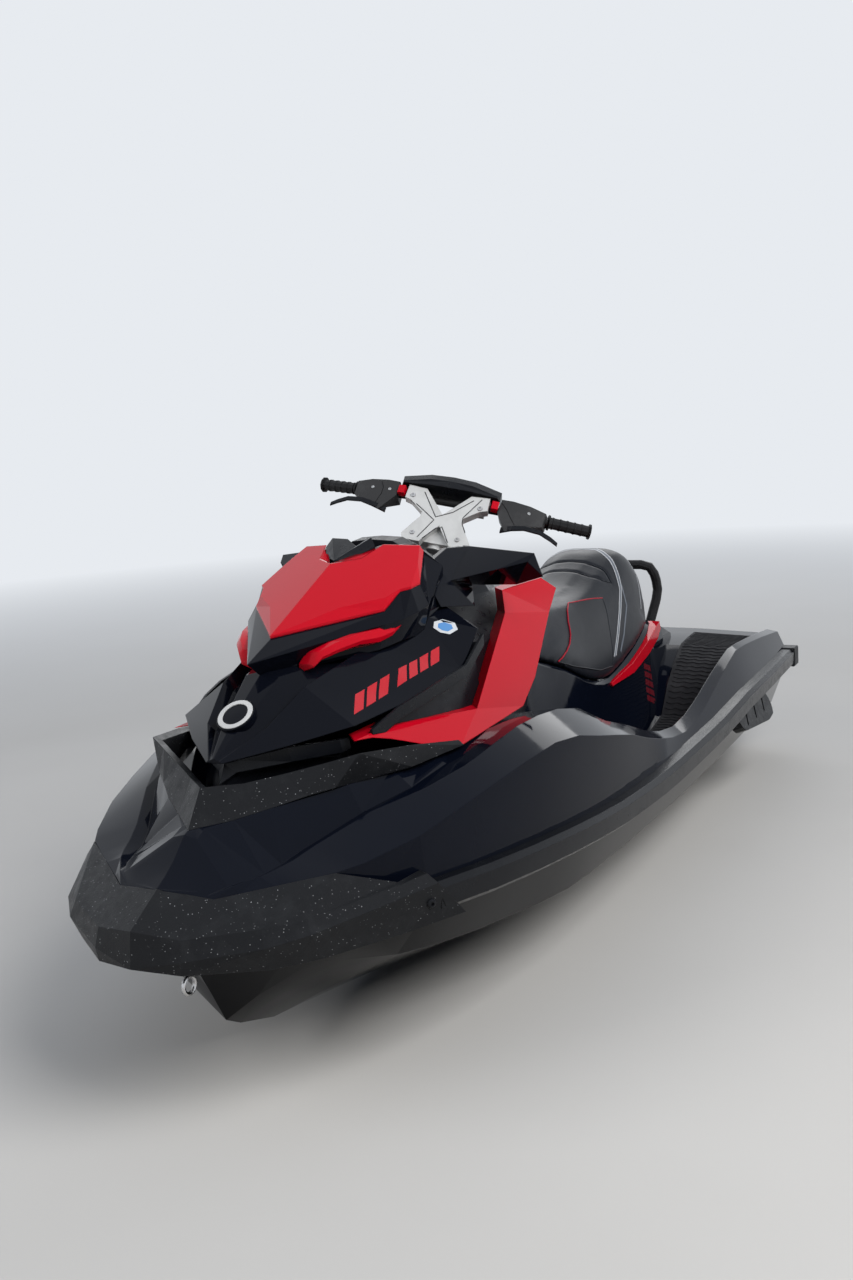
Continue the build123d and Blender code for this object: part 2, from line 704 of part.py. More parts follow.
# Red side fairing: a cap and an upright beside the knee, and an arm that runs forward along the hood's edge
FAIRING = {
    "cap_front": (2030, 262, 942),
    "cap_step": (1970, 270, 944),
    "cap_back": (1809, 280, 943),
    "cap_corner": (1740, 295, 904),
    "upright_back": (1812, 301, 846),
    "upright_front": (2081, 291, 889),
    "knee_back": (1996, 330, 699),
    "knee_foot": (2104, 340, 644),
    "elbow": (2353, 329, 695),
    "heel": (2528, 370, 649),
    "arm_low": (2637, 323, 680),
    "arm_low_front": (2702, 285, 706),
    "tip_low": (2751, 264, 720),
    "tip": (2808, 252, 726),
    "arm_top_front": (2702, 257, 728),
    "arm_top": (2566, 281, 717),
}
FAIRING_FACETS = (
    ("cap_front", "cap_step", "cap_back", "cap_corner", "upright_back", "upright_front"),
    ("elbow", "upright_front", "upright_back", "knee_back", "knee_foot"),
    ("elbow", "knee_foot", "heel"),
    ("elbow", "heel", "arm_low", "arm_low_front", "tip_low", "tip", "arm_top_front", "arm_top"),
)
FAIRING_BACK = (-50, -46, 0)    # from its face to its inside


def fairing(others):
    return without(slab(FAIRING, FAIRING_FACETS, FAIRING_BACK), others)


# Seat, half sections
# x, top z, crown y, shoulder y, shoulder z, low y, low z
SEAT = (
    (540, 742, 70, 120, 700, 150, 596),
    (600, 832, 84, 140, 780, 168, 584),
    (700, 896, 92, 150, 838, 182, 562),
    (800, 906, 96, 150, 846, 192, 540),
    (950, 856, 100, 152, 806, 200, 512),
    (1100, 812, 104, 156, 770, 204, 494),
    (1250, 800, 98, 152, 760, 204, 520),
    (1450, 824, 84, 142, 784, 200, 600),
    (1632, 880, 60, 120, 846, 176, 664),
)
SEAT_CROWN = 10.0


def seat_section(x):
    t_z, c_y, s_y, s_z, l_y, l_z = along(SEAT, x)
    return [(x, 0, t_z), (x, c_y, t_z - SEAT_CROWN), (x, s_y, s_z), (x, l_y, l_z), (x, 0, l_z)]


SEAT_X = stations(SEAT[0][0], SEAT[-1][0], 14)


def seat():
    return whole([seat_section(x) for x in SEAT_X])


# Pedestal that carries the seat, moulded over the deck. Under the seat its top follows the seat.
BASE_FOOT = 232.0
BASE_CHAMFER = 12.0

# Half breadth of its foot under the seat: x, y
BASE_WIDTH = ((540, 222), (915, 252), (1632, 252))

# Behind and in front of the seat: x, centre z, top y, top z, shoulder y, shoulder z, foot y
BASE_ENDS = (
    (215, 502, 96, 500, 128, 488, 150),
    (400, 566, 120, 564, 150, 548, 205),
    (1990, 664, 180, 664, 200, 650, 256),
)


def base_end(row):
    x, c_z, t_y, t_z, s_y, s_z, f_y = row
    return [(x, 0, c_z), (x, t_y, t_z), (x, s_y, s_z), (x, f_y, BASE_FOOT), (x, 0, BASE_FOOT)]


def base_top(x):
    t_z, c_y, s_y, s_z, l_y, l_z = along(SEAT, min(max(x, SEAT_X[0]), SEAT_X[-1]))
    return l_y, l_z - SEAT_GAP


def base_section(x, foot_y):
    top_y, top_z = base_top(x)
    return [(x, 0, top_z), (x, top_y - BASE_CHAMFER, top_z), (x, top_y, top_z - BASE_CHAMFER), (x, foot_y, BASE_FOOT),
            (x, 0, BASE_FOOT)]


def seat_base(others):
    under = [base_section(x, along(BASE_WIDTH, x)[0]) for x in SEAT_X]
    ends = [base_end(row) for row in BASE_ENDS]
    return without(whole(ends[:2] + under + ends[2:]), others)


# Red trim strip below each rear edge of the seat
# x, y, top z, height
TRIM = ((1110, 204, 482, 10), (900, 206, 508, 34), (700, 194, 546, 44), (560, 180, 576, 46), (500, 172, 586, 30))
TRIM_DEPTH = 40.0


def seat_trim(others):
    sections = [[(x, y + 8, z), (x, y + 12, z - tall), (x, y - TRIM_DEPTH, z - tall), (x, y - TRIM_DEPTH, z)]
                for x, y, z, tall in TRIM]
    return without(skin(sections, flat_ends=False), others)


HANDLE_RADIUS = 18.0
HANDLE_SIDES = 10
HANDLE_BEND = 40.0
HANDLE_PATH = ((440, -118, 556), (380, -142, 690), (420, -128, 790), (420, 128, 790), (380, 142, 690), (440, 118, 556))


def grab_handle(others):
    return without(tube(rounded(HANDLE_PATH, HANDLE_BEND), HANDLE_RADIUS, HANDLE_SIDES), others)


# Ribbed traction mats on the footwells and the stern platform
MAT = 6.0
MAT_ENDS = (100.0, 1700.0)
MAT_X = [x for x in BODY_X if MAT_ENDS[0] < x < MAT_ENDS[1]]


def traction_mats():
    sections = []
    for x in MAT_X:
        c_z, i_y, i_z, o_y, o_z = along(DECK, x)[:5]
        slope = (o_z - i_z) / (o_y - i_y)
        inner, outer = i_y + 16, o_y - 10
        low_in, low_out = i_z + slope * 16, o_z - slope * 10
        sections.append([(x, inner, low_in), (x, outer, low_out), (x, outer, low_out + MAT), (x, inner, low_in + MAT)])
    return skin(sections)


# Sponson: an oval fin on the hull's side, turned to the flare of the hull
SPONSON_X = 620.0
SPONSON_Z = 276.0
SPONSON_LENGTH = 400.0
SPONSON_HEIGHT = 108.0
SPONSON_THICKNESS = 30.0
SPONSON_TILT = -6.0
SPONSON_SLOTS = (-110.0, 0.0, 110.0)
SPONSON_SLOT = (64.0, 12.0)     # length and width
SPONSON_SLOT_TURN = 60.0
SPONSON_STEPS = 8           # straight steps in each round end
SLOT_STEPS = 3
SPONSON_EDGE = 8.0          # chamfer of the outer edge


def sponson(others):
    x = SPONSON_X
    keel_z, s_y, s_z, chine_y, chine_z = along(HULL, x)
    run, rise = edge_y(x) - chine_y, joint_z(x) - chine_z
    flare = degrees(atan2(run, rise))
    y = chine_y + run * (SPONSON_Z - chine_z) / rise
    plane = Plane(origin=(x, y - 8, SPONSON_Z), x_dir=(1, 0, 0), z_dir=(0, 1, 0)).rotated((flare, 0, 0))
    rim = oval(SPONSON_LENGTH, SPONSON_HEIGHT, SPONSON_STEPS)
    outline = Rot(0, 0, SPONSON_TILT) * make_face(Polyline(*rim, close=True))
    slot = make_face(Polyline(*oval(*SPONSON_SLOT, SLOT_STEPS), close=True))
    fin = extrude(plane * outline, SPONSON_THICKNESS + 8)
    outer_face = fin.faces().sort_by(Axis.Y)[-1]
    fin = chamfer(outer_face.edges(), SPONSON_EDGE)
    for s in SPONSON_SLOTS:
        fin = fin - extrude(plane * (Pos(s, 0) * Rot(0, 0, SPONSON_SLOT_TURN) * slot), SPONSON_THICKNESS + 10)
    return without(fin, others)


# Half outline of the X, from the upper crotch round its port side to the lower crotch
STEM_HALF = (
    (0, 42), (66, 120), (120, 124), (122, 80), (102, 74), (60, 40), (62, 24), (100, -40), (94, -58), (44, -58), (0, 4),
)


def stem():
    front = Plane(origin=(STEM_FRONT, 0, 0), x_dir=(0, 1, 0), z_dir=(1, 0, 0))
    outline = list(STEM_HALF) + [(-y, z) for y, z in reversed(STEM_HALF[1:-1])]
    plate = extrude(front * make_face(Polyline(*outline, close=True)), -STEM_DEPTH)
    block = Pos(10, 0, -16) * Box(44, 120, 60)
    post = Pos(0, 0, -76) * Cylinder(POST_RADIUS, 80)
    arms = [Pos(BAR_X, side * 88, BAR_Z - 4) * Box(40, 34, 34) for side in (-1, 1)]
    bore = Pos(BAR_X, 0, BAR_Z) * Rot(90, 0, 0) * Cylinder(BAR_RADIUS + BAR_FIT, 400)
    return plate + block + post + arms - bore


def handlebar():
    """One bent tube: a straight middle and an arm to each grip."""
    along_grip = (Vector(*GRIP_END) - Vector(*GRIP_START)).normalized()
    knee = tuple(Vector(*GRIP_START) - along_grip * BAR_KNEE)
    half = [(BAR_X, BAR_BEND_Y, BAR_Z), knee, GRIP_END]
    points = [(x, -y, z) for x, y, z in reversed(half)] + half
    path = FilletPolyline(*points, radius=BAR_BEND)
    section = Plane(origin=path @ 0, z_dir=path % 0) * RegularPolygon(BAR_RADIUS, BAR_SIDES)
    return sweep(section, path)


def grip():
    start, end = Vector(*GRIP_START), Vector(*GRIP_END)
    axis = Plane(origin=start, z_dir=end - start)
    length = (end - start).length
    bore = Circle(BAR_RADIUS + BAR_FIT)
    tube = extrude(axis * (RegularPolygon(GRIP_RADIUS, GRIP_SIDES) - bore), length)
    rings = [extrude(axis.offset(d) * (RegularPolygon(GRIP_RADIUS + GRIP_RIB, GRIP_SIDES) - bore), GRIP_RIB_WIDTH)
             for d in stations(GRIP_RIB_AT, length - 2 * GRIP_RIB_AT, GRIP_RIBS - 1)]
    flange = extrude(axis * (RegularPolygon(GRIP_FLANGE, GRIP_SIDES) - bore), GRIP_CAP)
    cap = extrude(axis.offset(length) * RegularPolygon(GRIP_FLANGE, GRIP_SIDES), GRIP_CAP)
    return tube + rings + flange + cap


# Faceted pad on the middle of the bar, half loops from the front to the back
PAD = (
    ((62, 0, 150), (62, 60, 148), (54, 140, 132), (54, 140, 126), (62, 60, 128), (62, 0, 128)),
    ((48, 0, 176), (48, 66, 172), (40, 146, 156), (36, 146, 128), (36, 60, 128), (36, 0, 128)),
    ((-20, 0, 190), (-20, 60, 188), (-16, 140, 170), (-16, 140, 128), (-16, 60, 128), (-16, 0, 128)),
    ((-44, 0, 176), (-44, 50, 174), (-38, 120, 160), (-38, 120, 134), (-44, 50, 134), (-44, 0, 134)),
)


def bar_pad(others):
    return without(whole(PAD, flat_ends=False), others)


# Control housing between the X and the grip, loops from the inside outwards: front low, front top, back top, back low
CONTROL = (
    ((46, 150, 84), (40, 152, 134), (-20, 152, 140), (-24, 150, 96)),
    ((58, 186, 18), (44, 186, 132), (-26, 186, 144), (-34, 186, 92)),
    ((44, 232, 52), (36, 236, 130), (-36, 236, 146), (-40, 232, 94)),
    ((20, 280, 78), (16, 282, 128), (-44, 282, 148), (-44, 280, 104)),
)


def control_housing(others):
    return without(skin(CONTROL, flat_ends=False), others)


# Brake and throttle levers, a flat bar in front of each grip
# x, y, z, height, thickness
LEVER = (
    (36, 170, 34, 16, 8),
    (62, 206, 30, 14, 7),
    (64, 240, 36, 13, 6),
    (50, 284, 40, 12, 6),
    (34, 316, 34, 12, 6),
    (26, 336, 26, 10, 6),
)


def lever(others):
    sections = [[(x - t / 2, y, z - h / 2), (x + t / 2, y, z - h / 2), (x + t / 2, y, z + h / 2), (x - t / 2, y, z + h / 2)]
                for x, y, z, h, t in LEVER]
    return without(skin(sections, flat_ends=False), others)


def button():
    return Pos(42, 138, 104) * Rot(0, 0, 8) * Box(20, 20, 26)


# Boot round the column, on top of the console
BOOT_RADIUS = 44.0
BOOT_HEIGHT = 60.0
BOOT_BELLOWS = 3
BOOT_FLARE = 4.0            # each bellow is this much wider than the one above
BOOT_FOLD = 6.0             # depth of a fold
BOOT_DROP = 130.0           # its foot is this far down the column
BOOT_SIDES = 16


def steering_boot(others):
    """Bellows round the column, outside the room that the post needs."""
    core = POST_RADIUS + MOVING_GAP
    pitch = BOOT_HEIGHT / BOOT_BELLOWS
    outside = [(BOOT_HEIGHT, BOOT_RADIUS)]
    for k in range(BOOT_BELLOWS):
        radius = BOOT_RADIUS + BOOT_FLARE * (k + 1)
        outside += [(BOOT_HEIGHT - pitch * (k + 0.5), radius + BOOT_FOLD), (BOOT_HEIGHT - pitch * (k + 1), radius)]
    ring = turned(outside + [(0, core), (BOOT_HEIGHT, core)], BOOT_SIDES)
    return without((Pos(0, 0, -BOOT_DROP) * Rot(0, -90, 0) * ring).moved(column), others)


PUMP_SIDES = 20
VENTURI_TAPER = 84.0        # length of the cone between ring and venturi
HUB_RADIUS = 30.0
# Stator hub with its tail cone: x from PUMP_AFT, radius
HUB = ((-92, 0), (-84, 14), (-66, 24), (-40, HUB_RADIUS), (40, HUB_RADIUS), (40, 0))
VANES = 7
VANE = (60.0, 4.0)          # length and thickness
BLADES = 4
IMPELLER_X = (346.0, 406.0)


def pump_housing():
    """Wear ring and venturi as one turned shell with its flange, stator vanes, hub and pivot ears."""
    r, w = PUMP_RADIUS, PUMP_WALL
    neck, nw = VENTURI_RADIUS, VENTURI_WALL
    x_out = NOZZLE_PIVOT_X - 4
    profile = [
        (PUMP_FRONT, r), (PUMP_FRONT, r + w), (PUMP_AFT, r + w), (PUMP_AFT - VENTURI_TAPER, neck + nw),
        (x_out, neck + nw), (x_out, neck), (PUMP_AFT - VENTURI_TAPER, neck), (PUMP_AFT, r),
    ]
    shell = turned(profile, PUMP_SIDES, z=PUMP_Z)
    plate = box_between((PUMP_FRONT, TUNNEL_FRONT), (-112, 112), (PUMP_Z - 96, PUMP_Z + 96))
    plate = plate - turned([(PUMP_FRONT - 1, 0), (PUMP_FRONT - 1, r), (TUNNEL_FRONT + 1, r), (TUNNEL_FRONT + 1, 0)],
                           PUMP_SIDES, z=PUMP_Z)
    hub = turned(HUB, PUMP_SIDES // 2, x=PUMP_AFT, z=PUMP_Z)
    vane = Pos(PUMP_AFT + 5, 0, (HUB_RADIUS + r) / 2) * Box(*VANE, r - HUB_RADIUS + 6)
    vanes = [Pos(0, 0, PUMP_Z) * Rot(360 / VANES * k, 0, 0) * vane for k in range(VANES)]
    ears = []
    for side in (-1, 1):
        ears.append(box_between((GATE_PIVOT_X - 16, PUMP_AFT + 30), sorted((side * (r + 4), side * (r + 13))),
                                (PUMP_Z - 18, PUMP_Z + 18)))
        ears.append(Pos(GATE_PIVOT_X, side * (r + 16), PUMP_Z) * Rot(90, 0, 0) * Cylinder(PIN_RADIUS, 44))
        ears.append(box_between((NOZZLE_PIVOT_X - 14, PUMP_AFT + 10), (-12, 12),
                                sorted((PUMP_Z + side * (r + 4), PUMP_Z + side * (r + 12)))))
        ears.append(Pos(NOZZLE_PIVOT_X, 0, PUMP_Z + side * (r - 1)) * Cylinder(PIN_RADIUS, 18))
    return shell + plate + hub + vanes + ears


def impeller():
    """Hub, shaft and blades, turning in the wear ring."""
    aft, front = IMPELLER_X
    core = turned([(aft, 0), (aft, HUB_RADIUS), (front, SHAFT_RADIUS + 6), (front, SHAFT_RADIUS),
                   (SHAFT_END, SHAFT_RADIUS), (SHAFT_END, 0)], PUMP_SIDES // 2)
    tip = PUMP_RADIUS - BLADE_GAP
    blades = []
    for k in range(BLADES):
        sections = []
        for j in range(6):
            x = front - 4 - (front - aft - 8) * j / 5
            turn = radians(360 / BLADES * k + 22 * j)
            ring = []
            for radius, half in ((12, 3), (tip, 1.6), (tip, -1.6), (12, -3)):
                a = turn + half / radius
                ring.append((x, radius * sin(a), radius * cos(a)))
            sections.append(ring)
        blades.append(skin(sections, flat_ends=False))
    return Pos(0, 0, PUMP_Z) * (core + blades)


STEER_RATIO = -0.7
NOZZLE_REST = STEER_RATIO * BAR_REST
BELL_STEPS = 4
BELL_RIM = -2.0             # the bell starts this many degrees forward of the pivot
LUG_RADIUS = 14.0
LUG_SIDES = 12


def bell_arc(radius, end_radius):
    """Points of the nozzle's round bell from its rim aft to where it meets the tube."""
    end = degrees(atan2((radius**2 - end_radius**2) ** 0.5, end_radius))
    return [(-radius * sin(radians(a)), radius * cos(radians(a))) for a in stations(BELL_RIM, end, BELL_STEPS)]


def nozzle():
    """Steering nozzle: a round bell over the venturi, narrowing to the outlet, with two pivot bosses."""
    bell, wall, bore = NOZZLE_BELL, NOZZLE_WALL, NOZZLE_BORE
    profile = bell_arc(bell + wall, bore + wall) + [(-NOZZLE_LENGTH, bore + wall), (-NOZZLE_LENGTH, bore)]
    profile += reversed(bell_arc(bell, bore))
    lug = extrude(RegularPolygon(LUG_RADIUS, LUG_SIDES), LUG_RADIUS, both=True)
    lugs = [Pos(0, 0, side * bell) * lug for side in (-1, 1)]
    room = turned([(-bell, 0), (-bell, bell), (bell, bell), (bell, 0)], PUMP_SIDES)
    pins = [Pos(0, 0, side * 75) * Cylinder(PIN_RADIUS + PIN_GAP, 40) for side in (-1, 1)]
    body = turned(profile, PUMP_SIDES) + [lug - room for lug in lugs] - pins
    return body.moved(Location((NOZZLE_PIVOT_X, 0, PUMP_Z)) * Rot(0, 0, NOZZLE_REST))


# Reverse gate: a curved shell on two arms, parked above the nozzle
GATE_FROM = 36.0            # degrees above the aft direction
GATE_TO = 86.0
GATE_STEPS = 5
GATE_ARM = 7.0              # thickness of the arms
GATE_EYE = 18.0             # radius of the arm round its pin
GATE_EYE_ARC = (-150.0, 30.0)
GATE_EYE_STEPS = 6


def reverse_gate():
    r, w, half = GATE_RADIUS, GATE_WALL, GATE_HALF_WIDTH
    angles = [radians(a) for a in stations(GATE_FROM, GATE_TO, GATE_STEPS)]
    grow = 1 / cos(radians(GATE_TO - GATE_FROM) / GATE_STEPS / 2)
    outer, inner, middle = [[(-d * grow * cos(a), d * grow * sin(a)) for a in angles] for d in (r, r - w, r - w / 2)]
    shell = extrude(Plane.XZ * make_face(Polyline(*outer, *reversed(inner), close=True)), half + GATE_ARM, both=True)
    eye = [(GATE_EYE * cos(radians(a)), GATE_EYE * sin(radians(a))) for a in stations(*GATE_EYE_ARC, GATE_EYE_STEPS)]
    arm_shape = make_face(Polyline(*middle, *reversed(eye), close=True))
    arms = [Pos(0, side * (half + GATE_ARM / 2), 0) * extrude(Plane.XZ * arm_shape, GATE_ARM / 2, both=True)
            for side in (-1, 1)]
    pin = Rot(90, 0, 0) * Cylinder(PIN_RADIUS + PIN_GAP, 4 * half)
    return (shell + arms - pin).moved(Location((GATE_PIVOT_X, 0, PUMP_Z)))


def ride_plate(others):
    def row(x):
        return [(x, 0, 4), (x, TUNNEL_HALF_WIDTH, 56), (x, TUNNEL_HALF_WIDTH, 66), (x, 0, 14)]
    return without(whole([row(-6), row(PUMP_FRONT - 2)]), others)


# Intake grate: bars along the boat between two end pieces that follow the V of the keel
GRATE_X = (510.0, 970.0)
GRATE_END = 20.0
GRATE_BAR = (8.0, 18.0)     # width and height
GRATE_BAR_Y = (14.0, 42.0)


def intake_grate(others):
    rise = along(HULL, GRATE_X[0])[2] / along(HULL, GRATE_X[0])[1]
    width, height = GRATE_BAR
    bars = []
    for y in GRATE_BAR_Y:
        low = 2 + rise * y
        bar = box_between(GRATE_X, (y - width / 2, y + width / 2), (low, low + height))
        bars += [bar, starboard(bar)]
    edge = rise * INTAKE_HALF_WIDTH
    v = Polyline((0, 2), (INTAKE_HALF_WIDTH, edge + 2), (INTAKE_HALF_WIDTH, edge + height + 2), (0, height + 2),
                 (-INTAKE_HALF_WIDTH, edge + height + 2), (-INTAKE_HALF_WIDTH, edge + 2), close=True)
    ends = [extrude(Plane.YZ.offset(x) * make_face(v), GRATE_END) for x in (GRATE_X[0], GRATE_X[1] - GRATE_END)]
    return without(bars[0] + bars[1:] + ends, others)


BOW_EYE = (3140.0, 0.0, 258.0)
BOW_EYE_RADIUS = 19.0
BOW_EYE_ROD = 5.0
BOW_EYE_SIDES = 8


def bow_eye():
    turns = [2 * pi * k / BOW_EYE_SIDES for k in range(BOW_EYE_SIDES)]
    rod = [(BOW_EYE_ROD * sin(a), BOW_EYE_RADIUS + BOW_EYE_ROD * cos(a)) for a in turns]
    return Pos(*BOW_EYE) * Rot(0, 0, 90) * turned(rod, 2 * BOW_EYE_SIDES)


# Corner caps at the stern end of each rail
CAP_CHAMFER = 4.0


def stern_cap(others):
    y, z = along(SHEER, 10)
    block = box_between((-6, 60), (y - RAIL_WIDTH - 4, y + 5), (z - RAIL_HEIGHT - 2, z + 9))
    return without(chamfer(block.edges(), CAP_CHAMFER), others)


def main():
    d = deck()
    h = hull()
    moulding = [h, d]
    save("hull", h)
    save("deck", d)
    rail = side_rail(moulding)
    cap = stern_cap(moulding + [rail])
    save_two("side_rail", rail)
    save_pair("stern_caps", cap)
    nose = bumper(moulding + [rail, starboard(rail)])
    save("front_bumper", nose)
    save("storage_bin", storage_bin())

    middle = console(moulding)
    save("console", middle)
    save("gauge_pod", gauge_pod([middle]))
    red = fairing(moulding + [middle])
    save_two("side_fairing", red)
    lip = scoop_lip(moulding)
    wall = gutter(moulding + [middle, red])
    save("inner_walls", [lip, wall, starboard(wall)])
    save("prow", prow(moulding + [nose, lip, wall, starboard(wall), red, starboard(red)]))

    lid = hood_shell()
    panel = hood_panel()
    beak = hood_beak([lid, panel])
    save("hood_shell", lid)
    save("hood_beak", beak)
    save("hood_panel", panel)
    save("hood_vent", hood_vent([beak, panel]))
    save_pair("hood_brows", brow([lid, beak]))
    blade = mirror_housing([beak, lid, panel])
    save_two("mirror_housing", blade)
    save_pair("mirror_glasses", without(mirror_glass(), [blade]))

    cushion = seat()
    base = seat_base(moulding + [middle, cushion])
    save("seat", cushion)
    save("seat_base", base)
    save_pair("seat_trims", seat_trim(moulding + [base, cushion]))
    save("grab_handle", grab_handle([base]))
    save_pair("traction_mats", without(traction_mats(), moulding))
    save_two("sponson", sponson(moulding))
    save("bow_eye", bow_eye())

    cross = stem()
    bar = handlebar()
    save("steering_stem", cross, steered)
    save("handlebar", bar, steered)
    save("bar_pad", bar_pad([cross, bar]), steered)
    handle = grip()
    switch = control_housing([bar, cross, handle])
    save_two("grip", handle, steered)
    save_two("control_housing", switch, steered)
    save_pair("control_buttons", without(button(), [switch, cross]), steered)
    save_pair("control_levers", lever([switch]), steered)
    save("steering_boot", steering_boot([middle]))

    save("pump_housing", pump_housing())
    save("impeller", impeller())
    save("steering_nozzle", nozzle())
    save("reverse_gate", reverse_gate())
    save("ride_plate", ride_plate([h]))
    save("intake_grate", intake_grate([h]))


main()
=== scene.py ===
"""Looks of a personal watercraft: finishes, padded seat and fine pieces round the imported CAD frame."""
import json
from math import cos, pi, radians, sin

import bmesh
import bpy
from mathutils import Matrix, Vector
from mathutils.bvhtree import BVHTree
from mathutils.kdtree import KDTree


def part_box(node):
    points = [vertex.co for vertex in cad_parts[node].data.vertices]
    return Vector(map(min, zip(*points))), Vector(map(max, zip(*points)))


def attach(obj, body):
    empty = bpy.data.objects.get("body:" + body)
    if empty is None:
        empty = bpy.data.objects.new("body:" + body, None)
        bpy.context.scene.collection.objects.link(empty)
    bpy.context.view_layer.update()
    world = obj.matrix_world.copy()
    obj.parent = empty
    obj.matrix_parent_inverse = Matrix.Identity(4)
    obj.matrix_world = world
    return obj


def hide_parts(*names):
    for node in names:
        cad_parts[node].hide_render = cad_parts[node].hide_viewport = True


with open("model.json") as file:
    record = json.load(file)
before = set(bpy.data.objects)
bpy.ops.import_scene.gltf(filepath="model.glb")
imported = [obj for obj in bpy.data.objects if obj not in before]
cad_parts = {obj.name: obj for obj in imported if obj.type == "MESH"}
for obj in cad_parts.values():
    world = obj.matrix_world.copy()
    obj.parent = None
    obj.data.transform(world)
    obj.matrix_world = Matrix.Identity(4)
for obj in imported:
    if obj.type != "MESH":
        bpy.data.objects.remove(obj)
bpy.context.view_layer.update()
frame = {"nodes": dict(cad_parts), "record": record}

# Camera, from the photograph's vanishing points. Metres and degrees, in the CAD's frame.
CAMERA_AT = (3.654, 1.754, 1.237)
CAMERA_YAW = 209.03
CAMERA_PITCH = -10.12
CAMERA_ROLL = 3.91
CAMERA_FOCAL = 1300.0       # pixels, for an image 1280 high
IMAGE_HEIGHT = 1280.0
SENSOR = 36.0

# Stage
KEEL_Z = -0.2               # the floor lies under the keel
FLOOR_SIZE = 60.0
FLOOR_COLOUR = (0.52, 0.505, 0.48, 1)
FLOOR_WORN = (0.56, 0.545, 0.52, 1)
BACKDROP = (0.80, 0.83, 0.87, 1)
FADE_START = 3.0            # the floor turns into the backdrop between these distances from the object
FADE_END = 10.0


# Small helpers

SQUARE = ((-1, -1), (1, -1), (1, 1), (-1, 1))


def link(obj):
    bpy.context.scene.collection.objects.link(obj)
    return obj


def mesh_object(name, points, faces):
    mesh = bpy.data.meshes.new(name)
    mesh.from_pydata([tuple(p) for p in points], [], faces)
    mesh.update()
    return link(bpy.data.objects.new(name, mesh))


SAME_PLACE = 5              # points that agree to this many decimal places of a metre count as one


def soften(obj, degrees):
    """Smooth shading across faces that meet at less than the angle. The mesh's points stay where they are."""
    mesh = obj.data
    limit = cos(radians(degrees))
    keys = [tuple(round(c, SAME_PLACE) for c in v.co) for v in mesh.vertices]
    meeting = {}
    for face in mesh.polygons:
        for v in face.vertices:
            meeting.setdefault(keys[v], []).append((face.normal.copy(), face.area))
    normals = []
    for face in mesh.polygons:
        for v in face.vertices:
            total = Vector()
            for normal, area in meeting[keys[v]]:
                if normal.dot(face.normal) > limit:
                    total += normal * area
            normals.append(total.normalized() if total.length else face.normal)
    mesh.polygons.foreach_set("use_smooth", [True] * len(mesh.polygons))
    mesh.normals_split_custom_set(normals)


# Materials

class Finish:
    """A material under construction: its principled shader and short calls for the nodes that feed it."""

    def __init__(self, name):
        self.material = bpy.data.materials.new(name)
        self.material.use_nodes = True
        self.tree = self.material.node_tree
        self.shader = self.tree.nodes["Principled BSDF"]
        coordinates = self.tree.nodes.new("ShaderNodeTexCoord")
        self.place = coordinates.outputs["Object"]

    def node(self, kind, **values):
        made = self.tree.nodes.new(kind)
        for key, value in values.items():
            setattr(made, key, value)
        return made

    def join(self, a, b):
        self.tree.links.new(a, b)

    def set(self, **values):
        """Constants on the shader's own sockets; an underscore stands for a space."""
        for key, value in values.items():
            self.shader.inputs[key.replace("_", " ")].default_value = value

    def noise(self, scale, detail=3.0, rough=0.5):
        made = self.node("ShaderNodeTexNoise")
        made.inputs["Scale"].default_value = scale
        made.inputs["Detail"].default_value = detail
        made.inputs["Roughness"].default_value = rough
        self.join(self.place, made.inputs["Vector"])
        return made.outputs["Fac"]

    def cells(self, scale):
        made = self.node("ShaderNodeTexVoronoi", feature="F1")
        made.inputs["Scale"].default_value = scale
        self.join(self.place, made.inputs["Vector"])
        return made.outputs["Distance"]

    def ramp(self, value, stops):
        """stops: (position, grey or colour)."""
        made = self.node("ShaderNodeValToRGB")
        line = made.color_ramp
        while len(line.elements) < len(stops):
            line.elements.new(0.5)
        for element, (at, colour) in zip(line.elements, stops):
            element.position = at
            element.color = colour if isinstance(colour, tuple) else (colour, colour, colour, 1)
        self.join(value, made.inputs["Fac"])
        return made.outputs["Color"]

    def mix(self, factor, a, b, blend="MIX"):
        """Mix of two colours, each a socket or an RGBA."""
        made = self.node("ShaderNodeMix", data_type="RGBA", blend_type=blend)
        for socket, value in ((made.inputs[0], factor), (made.inputs[6], a), (made.inputs[7], b)):
            if isinstance(value, bpy.types.NodeSocket):
                self.join(value, socket)
            else:
                socket.default_value = value
        return made.outputs[2]

    def bump(self, heights, edge=0.0):
        """heights: (socket, strength, distance in metres). edge rounds the corners that light meets."""
        normal = None
        if edge:
            bevel = self.node("ShaderNodeBevel", samples=BEVEL_SAMPLES)
            bevel.inputs["Radius"].default_value = edge
            normal = bevel.outputs["Normal"]
        for height, strength, distance in heights:
            made = self.node("ShaderNodeBump")
            made.inputs["Strength"].default_value = strength
            made.inputs["Distance"].default_value = distance
            self.join(height, made.inputs["Height"])
            if normal is not None:
                self.join(normal, made.inputs["Normal"])
            normal = made.outputs["Normal"]
        if normal is not None:
            self.join(normal, self.shader.inputs["Normal"])

    def colour(self, socket):
        self.join(socket, self.shader.inputs["Base Color"])

    def roughness(self, socket):
        self.join(socket, self.shader.inputs["Roughness"])


def rgba(r, g, b):
    return (r, g, b, 1.0)


GLOSS_IOR = 1.42
PLASTIC_SHINE = 0.18
SPECK_COLOUR = (0.55, 0.56, 0.58)
SPECK_CELLS = 135.0         # to a metre; each may hold one speck
SPECK_SOLID = 0.07          # a speck is solid up to this distance from its cell's middle
SPECK_EDGE = 0.16           # and gone at this one
BEVEL_SAMPLES = 4


